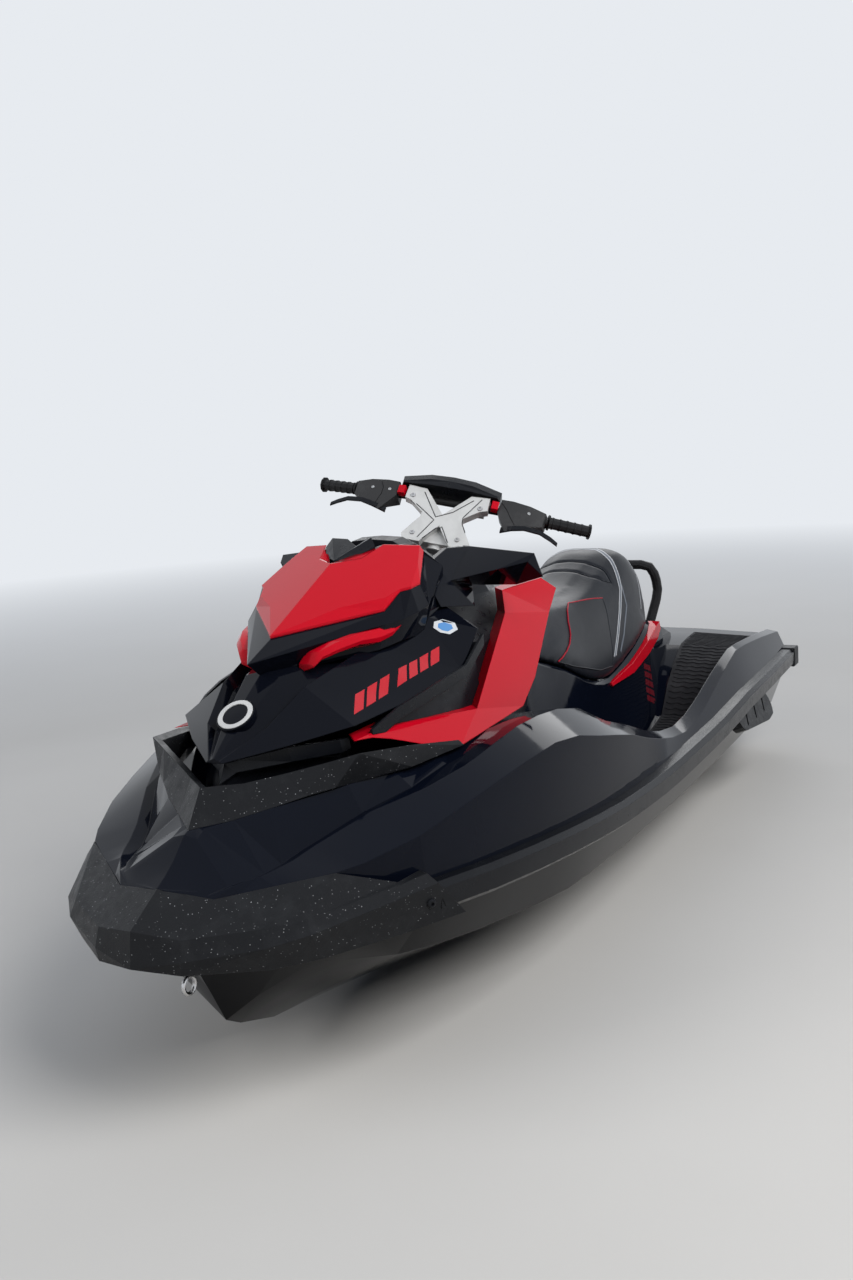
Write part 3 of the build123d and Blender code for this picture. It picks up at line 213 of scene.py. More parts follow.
def gloss(name, colour, deep, shine, edge):
    """Gelcoat, lacquer or film: a smooth coat over colour, slightly rippled, with faint water marks."""
    f = Finish(name)
    f.set(IOR=GLOSS_IOR, Specular_IOR_Level=shine)
    cloud = f.noise(3.0, detail=4.0)
    f.colour(f.mix(cloud, rgba(*deep), rgba(*colour)))
    marks = f.noise(22.0, detail=6.0, rough=0.62)
    f.roughness(f.ramp(marks, [(0.45, 0.05), (0.75, 0.12)]))
    ripple, dust = f.noise(9.0, detail=2.0), f.noise(260.0, detail=2.0)
    f.bump([(ripple, 0.10, 0.0012), (dust, 0.04, 0.0004)], edge)
    return f.material


def moulded(name, colour, worn, rough, grain, depth, edge, specks, vary):
    """Moulded plastic or rubber: fine grain, scuffs paler than the colour, and dried water specks."""
    f = Finish(name)
    f.set(Specular_IOR_Level=PLASTIC_SHINE)
    scuff = f.ramp(f.noise(14.0, detail=8.0, rough=0.7), [(0.5, 0.0), (0.8, 1.0)])
    base = f.mix(scuff, rgba(*colour), rgba(*worn))
    if specks:
        spots = f.ramp(f.cells(SPECK_CELLS), [(0.0, 1.0), (SPECK_SOLID, 1.0), (SPECK_EDGE, 0.0)])
        where = f.ramp(f.noise(60.0), [(0.44, 0.0), (0.62, specks)])
        sparse = f.mix(1.0, spots, where, "MULTIPLY")
        base = f.mix(sparse, base, rgba(*SPECK_COLOUR))
    f.colour(base)
    f.roughness(f.ramp(f.noise(40.0, detail=5.0), [(0.3, rough - vary), (0.7, rough + vary)]))
    fine, coarse = f.noise(grain, rough=0.6), f.noise(grain * 0.3, detail=2.0)
    f.bump([(fine, 0.5, depth), (coarse, 0.3, depth)], edge)
    return f.material


def metal(name, colour, stained, rough, grain, depth, edge, metallic):
    """Cast or drawn metal: stains, uneven polish and fine grain."""
    f = Finish(name)
    f.set(Metallic=metallic)
    stain = f.ramp(f.noise(18.0, detail=7.0, rough=0.65), [(0.42, 0.0), (0.75, 1.0)])
    f.colour(f.mix(stain, rgba(*colour), rgba(*stained)))
    f.roughness(f.ramp(f.noise(60.0, detail=5.0), [(0.3, rough - 0.07), (0.7, rough + 0.1)]))
    f.bump([(f.noise(grain, rough=0.6), 0.4, depth)], edge)
    return f.material


def mirror(name, colour, worn, rough):
    f = Finish(name)
    f.set(Metallic=1.0, Roughness=rough)
    f.colour(f.mix(f.noise(6.0), rgba(*colour), rgba(*worn)))
    f.bump([(f.noise(4.0, detail=1.0), 0.05, 0.0005)])
    return f.material


# Colour, deeper shade, specular level, radius that light sees on edges
GLOSS = {
    "hull_gelcoat": ((0.0040, 0.0044, 0.0060), (0.0025, 0.0028, 0.0040), 0.15, 0.003),
    "deck_gelcoat": ((0.0032, 0.0048, 0.0105), (0.0022, 0.0032, 0.0070), 0.15, 0.003),
    "gloss_black": ((0.0036, 0.0046, 0.0085), (0.0026, 0.0032, 0.0060), 0.15, 0.003),
    "red_paint": ((0.52, 0.002, 0.014), (0.44, 0.002, 0.010), 0.15, 0.003),
    "red_film": ((0.50, 0.010, 0.020), (0.44, 0.008, 0.016), 0.5, 0.0),
    "dark_red_film": ((0.12, 0.006, 0.012), (0.10, 0.005, 0.010), 0.5, 0.0),
    "blue_film": ((0.10, 0.28, 0.60), (0.08, 0.24, 0.52), 0.5, 0.0),
    "white_film": ((0.62, 0.64, 0.66), (0.56, 0.58, 0.60), 0.5, 0.0),
    "screen_glass": ((0.020, 0.030, 0.036), (0.012, 0.018, 0.022), 0.5, 0.0),
}
# Colour, scuffed colour, roughness, scale and depth of the grain, edge radius, strength of the dried specks,
# spread of the roughness
MOULDED = {
    "grained_plastic": ((0.0085, 0.0090, 0.0105), (0.018, 0.019, 0.021), 0.40, 420.0, 0.0008, 0.002, 0.8, 0.08),
    "satin_plastic": ((0.0060, 0.0068, 0.0090), (0.011, 0.012, 0.015), 0.32, 500.0, 0.0004, 0.002, 0.0, 0.08),
    "bin_plastic": ((0.03, 0.03, 0.032), (0.05, 0.05, 0.052), 0.5, 300.0, 0.0005, 0.002, 0.0, 0.08),
    "housing_plastic": ((0.030, 0.030, 0.031), (0.050, 0.050, 0.051), 0.42, 500.0, 0.0005, 0.002, 0.0, 0.08),
    "housing_line": ((0.004, 0.004, 0.004), (0.008, 0.008, 0.008), 0.6, 500.0, 0.0001, 0.002, 0.0, 0.08),
    "rail_plastic": ((0.0060, 0.0066, 0.0085), (0.010, 0.011, 0.013), 0.20, 700.0, 0.0003, 0.002, 0.0, 0.08),
    "bar_tube": ((0.015, 0.015, 0.016), (0.03, 0.03, 0.03), 0.35, 600.0, 0.0002, 0.002, 0.0, 0.08),
    "rubber": ((0.014, 0.014, 0.015), (0.03, 0.03, 0.03), 0.5, 500.0, 0.0004, 0.002, 0.0, 0.08),
    "mat_foam": ((0.02, 0.02, 0.022), (0.04, 0.04, 0.042), 0.8, 350.0, 0.0008, 0.002, 0.0, 0.08),
    "seat_vinyl": ((0.0075, 0.0088, 0.0125), (0.010, 0.012, 0.016), 0.36, 650.0, 0.0005, 0.002, 0.0, 0.02),
    "smooth_vinyl": ((0.008, 0.009, 0.012), (0.010, 0.011, 0.014), 0.30, 900.0, 0.0001, 0.0, 0.0, 0.02),
    "silver_vinyl": ((0.42, 0.43, 0.45), (0.34, 0.35, 0.37), 0.36, 650.0, 0.0003, 0.0, 0.0, 0.08),
    "grey_vinyl": ((0.12, 0.135, 0.16), (0.16, 0.175, 0.20), 0.40, 650.0, 0.0004, 0.0, 0.0, 0.08),
    "red_cord": ((0.30, 0.008, 0.02), (0.36, 0.02, 0.03), 0.45, 900.0, 0.0002, 0.0, 0.0, 0.08),
}
# Colour, stained colour, roughness, scale and depth of the grain, edge radius, metallic share
METAL = {
    "silver_casting": ((0.62, 0.62, 0.61), (0.52, 0.52, 0.51), 0.38, 500.0, 0.0003, 0.0015, 0.35),
    # dark metal of the cords laid along the stem's grooves: painted shade in the grooves
    "groove_dark": ((0.10, 0.10, 0.105), (0.06, 0.06, 0.062), 0.5, 500.0, 0.0002, 0.0, 1.0),
    "stainless": ((0.62, 0.62, 0.63), (0.5, 0.49, 0.47), 0.22, 900.0, 0.0001, 0.0015, 1.0),
    "pump_metal": ((0.34, 0.35, 0.36), (0.20, 0.21, 0.21), 0.45, 260.0, 0.0006, 0.0015, 1.0),
}
MIRROR = {"mirror_glass": ((0.78, 0.80, 0.82), (0.86, 0.87, 0.88), 0.03)}

FINISHES = {}
for make, table in ((gloss, GLOSS), (moulded, MOULDED), (metal, METAL), (mirror, MIRROR)):
    for finish_name, settings in table.items():
        FINISHES[finish_name] = make(finish_name, *settings)


def paint(obj, slot, finish=None):
    """Gives a piece its slot's finish, or another one that belongs to the same slot."""
    obj.data.materials.clear()
    obj.data.materials.append(FINISHES[finish or slot])
    return obj


# Nodes whose finish differs from their slot's
OWN_FINISH = {"control_housing_left": "housing_plastic", "control_housing_right": "housing_plastic",
              "side_rail_left": "rail_plastic", "side_rail_right": "rail_plastic"}
SMOOTH = 22.0               # faces that meet at less than this many degrees shade as one
# Nodes with flat facets that meet at smaller angles
CRISP = {"hood_panel": 5, "hood_beak": 8, "hood_shell": 12, "side_fairing_left": 6, "side_fairing_right": 6,
         "prow": 10, "front_bumper": 9, "mirror_housing_left": 8, "mirror_housing_right": 8, "deck": 13,
         "steering_stem": 12, "inner_walls": 10}

for part in frame["record"]["subparts"]:
    node = frame["nodes"][part["node"]]
    node.data.materials.clear()
    node.data.materials.append(FINISHES[OWN_FINISH.get(part["node"], part["material_slot"])])
    soften(node, CRISP.get(part["node"], SMOOTH))


# Seat

# Half sections of the cushion, mm along the boat from the transom and above the keel, as in the CAD
# x, top z, crown y, shoulder y, shoulder z, low y, low z
SEAT = (
    (548, 736, 66, 114, 696, 144, 600),
    (600, 826, 80, 134, 776, 162, 588),
    (700, 888, 88, 144, 832, 176, 566),
    (800, 898, 92, 145, 840, 186, 544),
    (950, 850, 96, 146, 800, 194, 517),
    (1100, 806, 100, 150, 764, 198, 499),
    (1250, 794, 94, 146, 755, 198, 525),
    (1450, 818, 80, 136, 778, 194, 605),
    (1624, 872, 56, 114, 840, 170, 669),
)
ORIGIN_X = 1500.0
WATERLINE = 200.0
SEAT_ROWS = 64
SEAT_POINTS = 20            # from the crown to the foot of the side
SEAT_UNDER = 6              # parts of the flat underside, from the foot to the middle
SEAT_CROWN = 7              # drop of the crown's edge below its top, in mm
SEAT_BULGE = 5              # of the side, in mm
SEAT_VOXEL = 0.008
SEAT_PRESSURE = 2.0
SEAT_CAP = 0.004            # a point moves no further than this when the cushion swells
SEAT_FRAMES = 20            # length of the simulation
SEAT_HELD = 0.012           # points this close to the cushion's underside stay where they are
SEAT_CALM = (10, 0.5)       # rounds and strength of the smoothing after it
# Lines across the seat on the port side, from the crown down to the side
HOOP_FRONT = ((975, 0, 845), (981, 50, 843), (988, 102, 832), (958, 140, 812), (916, 156, 797))
HOOP_INNER = ((905, 0, 870), (911, 60, 866), (912, 100, 853), (910, 130, 839), (908, 156, 793))
HOOP_SILVER = ((784, 0, 903), (790, 50, 900), (822, 98, 887), (842, 138, 850), (850, 156, 818),
               (862, 165, 761), (905, 178, 690), (962, 188, 620), (1022, 194, 556))
HOOP_BACK = ((700, 0, 890), (702, 60, 884), (703, 109, 872), (684, 136, 835), (664, 150, 790),
             (660, 158, 730), (668, 168, 660))
LEG_BACK = ((850, 160, 790), (832, 170, 700), (905, 188, 610), (962, 193, 560))
# Knee panel on the side: its corners in order
KNEE_PANEL = ((1021, 159, 758), (1130, 150, 776), (1240, 126, 784), (1292, 146, 766), (1334, 160, 730),
              (1356, 170, 691), (1384, 178, 668), (1427, 183, 652), (1500, 190, 634), (1400, 192, 600),
              (1180, 198, 540), (1062, 198, 530), (1040, 192, 590), (1028, 172, 690))
PANEL_LIFT = 0.0028
PANEL_STEP = 0.014
PANEL_SINK = 0.002
KNEE_PIPED = 9              # the piping follows this many of the corners
CHANNEL = (0.010, 0.0045)   # half width and depth of a sewn channel
STITCH = 0.003
LINE_OFFSET = 9             # of each silver line from the middle of the grey band, in mm
# Width and height of the bands sewn on, radius and height of the cords
SILVER_LINE = (0.005, 0.0008)
GREY_BAND = (0.012, 0.0004)
GREY_LEG = (0.010, 0.0006)
SEAM = (0.0016, 0.0002)
PIPING = (0.0024, 0.0018)
PANEL_SEAM = (0.0022, 0.0016)


def boat(x, y, z):
    """A point given in mm from the transom and the keel, in the scene's frame."""
    return Vector(((x - ORIGIN_X) / 1000, y / 1000, (z - WATERLINE) / 1000))


def along(table, x):
    """Columns of a table at x, on a smooth line through its rows."""
    if x <= table[0][0]:
        return table[0][1:]
    if x >= table[-1][0]:
        return table[-1][1:]
    k = max(i for i in range(len(table) - 1) if table[i][0] <= x)
    a, b = table[k], table[k + 1]
    before, after = table[max(k - 1, 0)], table[min(k + 2, len(table) - 1)]
    span = b[0] - a[0]
    t = (x - a[0]) / span
    out = []
    for c in range(1, len(a)):
        slope_a = (b[c] - before[c]) / (b[0] - before[0])
        slope_b = (after[c] - a[c]) / (after[0] - a[0])
        out.append((2 * t**3 - 3 * t**2 + 1) * a[c] + (t**3 - 2 * t**2 + t) * span * slope_a
                   + (3 * t**2 - 2 * t**3) * b[c] + (t**3 - t**2) * span * slope_b)
    return tuple(out)


def spline(points, count):
    """count points on a smooth line through the given ones."""
    out = []
    for k in range(count):
        u = k / (count - 1) * (len(points) - 1)
        i = min(int(u), len(points) - 2)
        t = u - i
        p0, p1, p2, p3 = (points[min(max(i + n, 0), len(points) - 1)] for n in (-1, 0, 1, 2))
        out.append(tuple(0.5 * (2 * b + (c - a) * t + (2 * a - 5 * b + 4 * c - d) * t * t
                                + (3 * b - a - 3 * c + d) * t**3) for a, b, c, d in zip(p0, p1, p2, p3)))
    return out


# Pieces laid on surfaces

def surface_of(*objects):
    """A search tree over the meshes of the objects."""
    points, faces = [], []
    for obj in objects:
        start = len(points)
        points += [v.co.copy() for v in obj.data.vertices]
        faces += [[start + v for v in face.vertices] for face in obj.data.polygons]
    return BVHTree.FromPolygons(points, faces)


def nodes_surface(*names):
    return surface_of(*(frame["nodes"][name] for name in names))


def landed(tree, point):
    """The nearest place on a surface and its normal."""
    place, normal, _, _ = tree.find_nearest(point)
    return place, normal


def above(tree, point, height):
    """The place that lies this far above a surface, where it is nearest to the point."""
    place, normal = landed(tree, point)
    return place + normal * height


def sampled(path, step, close=False):
    """Points at about even steps along straight runs."""
    corners = list(path) + [path[0]] * close
    out = []
    for a, b in zip(corners, corners[1:]):
        count = max(1, round((b - a).length / step))
        out += [a.lerp(b, k / count) for k in range(count)]
    return out if close else out + [corners[-1]]


def placed(path):
    """The path in the scene's frame."""
    return [boat(*p) for p in path]


def both(path):
    """The path in the scene's frame, and its twin on the other side."""
    return [placed(path), placed([(x, -y, z) for x, y, z in path])]


def merged(name, shells):
    """One mesh from (points, faces) pairs, with its faces turned outwards."""
    points, faces = [], []
    for some, them in shells:
        start = len(points)
        points += some
        faces += [tuple(start + i for i in face) for face in them]
    made = mesh_object(name, points, faces)
    bm = bmesh.new()
    bm.from_mesh(made.data)
    bmesh.ops.recalc_face_normals(bm, faces=bm.faces)
    bm.to_mesh(made.data)
    bm.free()
    return made


def skin(rings, close=False):
    """Points and faces of a skin over closed rings. The last ring meets the first, or both get a flat end."""
    count, rows = len(rings[0]), len(rings)
    faces = []
    for k in range(rows if close else rows - 1):
        here, there = k * count, (k + 1) % rows * count
        for i in range(count):
            j = (i + 1) % count
            faces.append((here + i, here + j, there + j, there + i))
    if not close:
        faces += [tuple(range(count)), tuple((rows - 1) * count + i for i in range(count))]
    return [p for ring in rings for p in ring], faces


def frames_along(tree, path, close=False):
    """Place, normal and sideways direction at each point of a path that lies on a surface."""
    last = len(path) - 1
    out = []
    for k, point in enumerate(path):
        place, normal = landed(tree, point)
        if close:
            ahead = path[(k + 1) % len(path)] - path[k - 1]
        else:
            ahead = path[min(k + 1, last)] - path[max(k - 1, 0)]
        out.append((place, normal, normal.cross(ahead).normalized()))
    return out


STRIP_SINK = 0.0015         # the edges of a strip lie this deep in the surface
STRIP_FLAT = 0.47           # it has its full lift this far from its middle, in widths
STRIP_CROWN = 1.25          # height of its middle, in lifts
CORD_STEP = 0.005
CORD_SIDES = 8


def ribbon(name, tree, paths, width, lift, step=0.006):
    """Flat strips along paths, laid on a surface: crowned in the middle, with their edges let in."""
    section = ((-0.5, -STRIP_SINK), (-STRIP_FLAT, lift), (0.0, lift * STRIP_CROWN), (STRIP_FLAT, lift),
               (0.5, -STRIP_SINK))
    shells = []
    for path in paths:
        rings = []
        for place, _, side in frames_along(tree, sampled(path, step)):
            rings.append([above(tree, place + side * (across * width), up) for across, up in section])
        shells.append(skin(rings))
    return merged(name, shells)


def welt(name, tree, paths, radius, lift=0.0, close=False):
    """Round cords or beads along paths on a surface, their centre lines this far above it."""
    turns = [2 * pi * i / CORD_SIDES for i in range(CORD_SIDES)]
    shells = []
    for path in paths:
        rings = []
        for place, normal, side in frames_along(tree, sampled(path, CORD_STEP, close), close):
            middle = place + normal * lift
            rings.append([middle + (side * cos(a) + normal * sin(a)) * radius for a in turns])
        shells.append(skin(rings, close))
    return merged(name, shells)


def decal(tree, outline, lift, step=0.008, sink=0.001, rounds=0):
    """Points and faces of a thin plate with a convex outline, laid on a surface. rounds: of smoothing."""
    edge = sampled(outline, step, True)
    centre = sum(edge, Vector()) / len(edge)
    rows = max(1, round(max((p - centre).length for p in edge) / (2 * step)))
    rings = [[above(tree, centre.lerp(p, k / rows), lift) for p in edge] for k in range(1, rows + 1)]
    for _ in range(rounds):
        inner = [[(ring[i - 1] + ring[(i + 1) % len(ring)] + below[i] + above[i]) / 4
                  for i in range(len(ring))] for below, ring, above in zip(rings, rings[1:], rings[2:])]
        rings = rings[:1] + inner + rings[-1:]
    rings.append([above(tree, p, -sink) for p in edge])
    return skin(rings)


def fasteners(name, tree, places, profile, segments=24):
    """Turned pieces on a surface. profile, from the outside in: radius, height, 6 for a hexagonal row or 0."""
    shells = []
    for place in places:
        at, up = landed(tree, place)
        side = up.orthogonal().normalized()
        across = up.cross(side)
        rings = []
        for radius, height, corners in profile:
            ring = []
            for i in range(segments):
                a = 2 * pi * i / segments
                r = radius
                if corners:
                    wedge = 2 * pi / corners
                    r = radius * cos(wedge / 2) / cos(a % wedge - wedge / 2)
                ring.append(at + up * height + (side * cos(a) + across * sin(a)) * r)
            rings.append(ring)
        shells.append(skin(rings))
    return merged(name, shells)


# Profile of a screw's head, in radii, and 6 where it has a hexagonal row
SCREW = ((1.0, -0.3, 0), (1.0, 0.12, 0), (0.86, 0.36, 0), (0.62, 0.48, 0), (0.42, 0.48, 6), (0.40, 0.12, 6))


def screw(radius):
    """A button head with a hexagonal socket."""
    return [(wide * radius, high * radius, corners) for wide, high, corners in SCREW]


SHADE = 30                  # faces of fine pieces that meet at less than this many degrees shade as one
SEAT_SHADE = 40             # the same on the seat


def finish_piece(piece, slot, body, finish=None, shade=SHADE):
    """Shading, finish (the slot's, or another one given) and body of a fine piece."""
    soften(piece, shade)
    paint(piece, slot, finish)
    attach(piece, body)
    return piece


# Seat cushion

def channel(obj, lines, reach, depth):
    """Draws the surface in along lines, as a row of stitches does."""
    spots = [p for line in lines for p in sampled(line, STITCH)]
    tree = KDTree(len(spots))
    for i, p in enumerate(spots):
        tree.insert(p, i)
    tree.balance()
    mesh = obj.data
    moves = []
    for v in mesh.vertices:
        _, _, gap = tree.find(v.co)
        if gap < reach:
            moves.append((v.index, v.normal * (-depth * (1 - (gap / reach) ** 2) ** 2)))
    for index, move in moves:
        mesh.vertices[index].co += move
    mesh.update()


def seat_ring(x):
    """One cross section of the cushion: smooth over the crown and down the side, then flat underneath."""
    t_z, c_y, s_y, s_z, l_y, l_z = along(SEAT, x)
    side = ((s_y + l_y) / 2 + SEAT_BULGE, (s_z + l_z) / 2)
    half = spline([(0, t_z), (c_y, t_z - SEAT_CROWN), (s_y, s_z), side, (l_y, l_z)], SEAT_POINTS)
    half += [(l_y * (1 - k / SEAT_UNDER), l_z) for k in range(1, SEAT_UNDER)]
    ring = half + [(-y, z) for y, z in reversed(half) if y > 0]
    return [boat(x, y, z) for y, z in ring]


def evaluated_copy(obj, name):
    mesh = bpy.data.meshes.new_from_object(obj.evaluated_get(bpy.context.evaluated_depsgraph_get()))
    mesh.name = name
    return mesh


def underside(x):
    """Height of the cushion's flat underside, in the scene's frame as x is."""
    return boat(0, 0, along(SEAT, x * 1000 + ORIGIN_X)[-1]).z


def swell(obj):
    """Remeshes the closed form and lets it swell as stuffed cloth does, but for its underside."""
    remesh = obj.modifiers.new("remesh", "REMESH")
    remesh.mode = "VOXEL"
    remesh.voxel_size = SEAT_VOXEL
    remesh.use_smooth_shade = True
    obj.data = evaluated_copy(obj, obj.name)
    obj.modifiers.clear()
    rest = [v.co.copy() for v in obj.data.vertices]
    held = obj.vertex_groups.new(name="held")
    low = [v.index for v in obj.data.vertices if v.co.z < underside(v.co.x) + SEAT_HELD]
    held.add(low, 1.0, "REPLACE")
    cloth = obj.modifiers.new("cloth", "CLOTH")
    cloth.settings.use_pressure = True
    cloth.settings.uniform_pressure_force = SEAT_PRESSURE
    cloth.settings.effector_weights.gravity = 0
    cloth.settings.vertex_group_mass = "held"
    cloth.point_cache.frame_end = SEAT_FRAMES
    for number in range(1, SEAT_FRAMES + 1):
        bpy.context.scene.frame_set(number)
    swollen = evaluated_copy(obj, obj.name)
    for v, was in zip(swollen.vertices, rest):
        move = v.co - was
        if move.length > SEAT_CAP:
            v.co = was + move * (SEAT_CAP / move.length)
    obj.modifiers.clear()
    obj.data = swollen
    bpy.context.scene.frame_set(1)


def build_seat():
    first, last = SEAT[0][0], SEAT[-1][0]
    rows = [first + (last - first) * k / SEAT_ROWS for k in range(SEAT_ROWS + 1)]
    seat = merged("seat_cushion", [skin([seat_ring(x) for x in rows])])
    swell(seat)
    seat.data.polygons.foreach_set("use_smooth", [True] * len(seat.data.polygons))
    smooth = seat.modifiers.new("smooth", "SMOOTH")
    smooth.iterations, smooth.factor = SEAT_CALM
    seat.data = evaluated_copy(seat, "seat_cushion")
    seat.modifiers.clear()
    channel(seat, [path for line in (HOOP_FRONT, HOOP_INNER) for path in both(line)], *CHANNEL)
    paint(seat, "seat_vinyl")
    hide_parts("seat")
    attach(seat, "root")
    return seat


seat_cushion = build_seat()
seat_surface = surface_of(seat_cushion)


def shifted(line, dx):
    return [(x + dx, y, z) for x, y, z in line]


def over(line):
    """One path over the seat from side to side, from the half line that starts at the crown."""
    port, starboard = both(line)
    return list(reversed(starboard)) + port[1:]


def on_seat(piece, finish=None):
    return finish_piece(piece, "seat_vinyl", "root", finish, SEAT_SHADE)


silver_lines = [over(shifted(HOOP_SILVER, d)) for d in (-LINE_OFFSET, LINE_OFFSET)]
on_seat(ribbon("seat_silver_lines", seat_surface, silver_lines, *SILVER_LINE), "silver_vinyl")
on_seat(ribbon("seat_grey_band", seat_surface, [over(HOOP_SILVER)], *GREY_BAND), "grey_vinyl")
on_seat(ribbon("seat_back_line", seat_surface, [over(HOOP_BACK)], *SILVER_LINE), "silver_vinyl")
on_seat(ribbon("seat_legs", seat_surface, both(LEG_BACK), *GREY_LEG), "grey_vinyl")
on_seat(welt("seat_seams", seat_surface, [over(HOOP_INNER), over(HOOP_FRONT)], *SEAM))
panel_paths = both(KNEE_PANEL)
on_seat(merged("knee_panels", [decal(seat_surface, path, PANEL_LIFT, PANEL_STEP, PANEL_SINK, rounds=2)
                               for path in panel_paths]), "smooth_vinyl")
piped = [path[:KNEE_PIPED] for path in panel_paths]
unpiped = [(path + path[:1])[KNEE_PIPED - 1:] for path in panel_paths]
on_seat(welt("knee_piping", seat_surface, piped, *PIPING), "red_cord")
on_seat(welt("knee_seam", seat_surface, unpiped, *PANEL_SEAM), "smooth_vinyl")


# Hood details

DECAL_LIFT = 0.0006
BAR_SPACE = 0.5             # width of the space in a row of bars, in pitches
# Each row of bars: corners of the band that it fills, on the port side (bottom start, bottom end, top end, top
# start), number of bars, share of the pitch that a bar takes, slant in pitches, and bars before the space or 0
HOOD_BARS = (((2751, 221, 770), (2388, 270, 832), (2375, 254, 859), (2710, 191, 801)), 7, 0.76, 0.35, 3)
FLANK_BARS = (((705, 215, 310), (672, 205, 470), (745, 205, 485), (800, 215, 340)), 5, 0.72, 0.3, 0)


def bars(name, tree, band, count, fill, slant, before_space):
    """Slanted bars spread over a band and its twin on the other side."""
    low_a, low_b, top_b, top_a = [Vector(p) for p in band]
    slots = count + (BAR_SPACE if before_space else 0) + slant
    lean = slant / slots
    shells = []
    for k in range(count):
        start = (k + (BAR_SPACE if before_space and k >= before_space else 0)) / slots
        end = start + fill / slots
        outline = [low_a.lerp(low_b, start), low_a.lerp(low_b, end),
                   top_a.lerp(top_b, end + lean), top_a.lerp(top_b, start + lean)]
        shells += [decal(tree, path, DECAL_LIFT) for path in both(outline)]
    return merged(name, shells)


hood_surface = nodes_surface("hood_shell")
finish_piece(bars("hood_bars", hood_surface, *HOOD_BARS), "red_paint", "hood", "red_film")

# Plain sticker on the port side: outline, and the smaller field inside it
STICKER = ((2366, 229, 900), (2352, 223, 911), (2326, 234, 911), (2306, 256, 898), (2311, 267, 885),
           (2338, 258, 878), (2357, 243, 886))
STICKER_FIELD = 0.62
outline = placed(STICKER)
middle = sum(outline, Vector()) / len(outline)
field = [middle.lerp(p, STICKER_FIELD) for p in outline]
finish_piece(merged("sticker", [decal(hood_surface, outline, DECAL_LIFT)]), "gloss_black", "hood", "white_film")
finish_piece(merged("sticker_field", [decal(hood_surface, field, 2 * DECAL_LIFT)]), "gloss_black", "hood",
             "blue_film")

# Plain ring badge on the nose of the hood
BADGE_AT = (2891, 0, 790)
BADGE_RADIUS = 0.046
BADGE_SIDES = 64
BADGE_SEAT = -0.016         # its pad reaches this far below the crease
CREASE_HALF = 0.2           # half length of the plane that the badge lies on
CREASE_DROP = 0.137         # how far that plane drops over it
at, _ = landed(hood_surface, boat(*BADGE_AT))
corners = [at + Vector((x * CREASE_HALF, y * CREASE_HALF, -x * CREASE_DROP)) for x, y in SQUARE]
crease = BVHTree.FromPolygons(corners, [(0, 1, 2, 3)])
r = BADGE_RADIUS
# Distance from the badge's middle, height, and 0 for a round row
pad_profile = ((r, BADGE_SEAT, 0), (r, 0.0016, 0), (r - 0.0012, 0.003, 0), (r - 0.004, 0.003, 0),
               (r - 0.006, 0.0022, 0), (0.3 * r, 0.0034, 0), (0.05 * r, 0.0036, 0))
ring_profile = ((r - 0.0035, 0.0015, 0), (r - 0.0035, 0.0038, 0), (r - 0.0045, 0.0048, 0),
                (r - 0.0140, 0.0054, 0), (r - 0.0155, 0.0044, 0), (r - 0.0155, 0.0010, 0))
finish_piece(fasteners("badge_pad", crease, [at], pad_profile, BADGE_SIDES), "gloss_black", "hood")
finish_piece(fasteners("badge_ring", crease, [at], ring_profile, BADGE_SIDES), "silver_casting", "hood")


# Steering details

stem_surface = nodes_surface("steering_stem")
STEM_SCREWS = ((1872, -79, 1192), (1827, 110, 1143), (1946, -49, 1093), (1913, 75, 1065))
# Grooves cast into the cross, drawn as dark cords along them: painted shade in the grooves
STEM_GROOVES = (
    ((1853, -50, 1198), (1891, 0, 1129), (1863, 42, 1138), (1818, 88, 1166)),
    ((1889, -46, 1156), (1899, -2, 1122), (1950, -32, 1080)),
    ((1877, -84, 1178), (1889, -46, 1156)),
    ((1807, 109, 1167), (1863, 73, 1122), (1891, 90, 1082)),
    ((1929, 53, 1059), (1904, 25, 1102), (1950, -12, 1072)),
)
GROOVE_RADIUS = 0.0014
STEM_SCREW_RADIUS = 0.0075
# dark cords along the grooves, painted shade of the grooves on the silver casting
finish_piece(welt("stem_groove_shade", stem_surface, [placed(line) for line in STEM_GROOVES], GROOVE_RADIUS),
             "silver_casting", "steering", "groove_dark")
finish_piece(fasteners("stem_screws", stem_surface, placed(STEM_SCREWS), screw(STEM_SCREW_RADIUS)),
             "stainless", "steering")
HOUSING_SCREWS = {"control_housing_right": ((1890, -200, 1220), (1882, -149, 1212)),
                  "control_housing_left": ((1771, 236, 1120),)}
HOUSING_SCREW_RADIUS = 0.005
for node, places in HOUSING_SCREWS.items():
    screws = fasteners(node + "_screws", nodes_surface(node), placed(places), screw(HOUSING_SCREW_RADIUS))
    finish_piece(screws, "stainless", "steering")

# Joint lines of the housings' halves
HOUSING_LINES = {
    "control_housing_right": ((1868, -181, 1233), (1885, -168, 1218), (1904, -166, 1203), (1927, -172, 1182),
                              (1940, -180, 1170)),
    "control_housing_left": ((1781, 160, 1150), (1796, 180, 1134), (1812, 196, 1114), (1822, 212, 1094)),
}
HOUSING_LINE = (0.0022, 0.0003, 0.003)      # width, height, step
for node, line in HOUSING_LINES.items():
    joint = ribbon(node + "_line", nodes_surface(node), [placed(line)], *HOUSING_LINE)
    finish_piece(joint, "grained_plastic", "steering", "housing_line")

# Screen of the gauge pod, in a raised frame
SCREEN = ((2184, -54, 1105), (2184, 54, 1105), (2134, 48, 1084), (2134, -48, 1084))
SCREEN_LIFT = 0.0008
SCREEN_FRAME = (0.0026, 0.0005)             # radius, height
pod_surface = nodes_surface("gauge_pod")
finish_piece(merged("gauge_screen", [decal(pod_surface, placed(SCREEN), SCREEN_LIFT)]), "gloss_black", "root",
             "screen_glass")
finish_piece(welt("gauge_frame", pod_surface, [placed(SCREEN)], *SCREEN_FRAME, close=True), "satin_plastic",
             "root")


# Hull and deck details

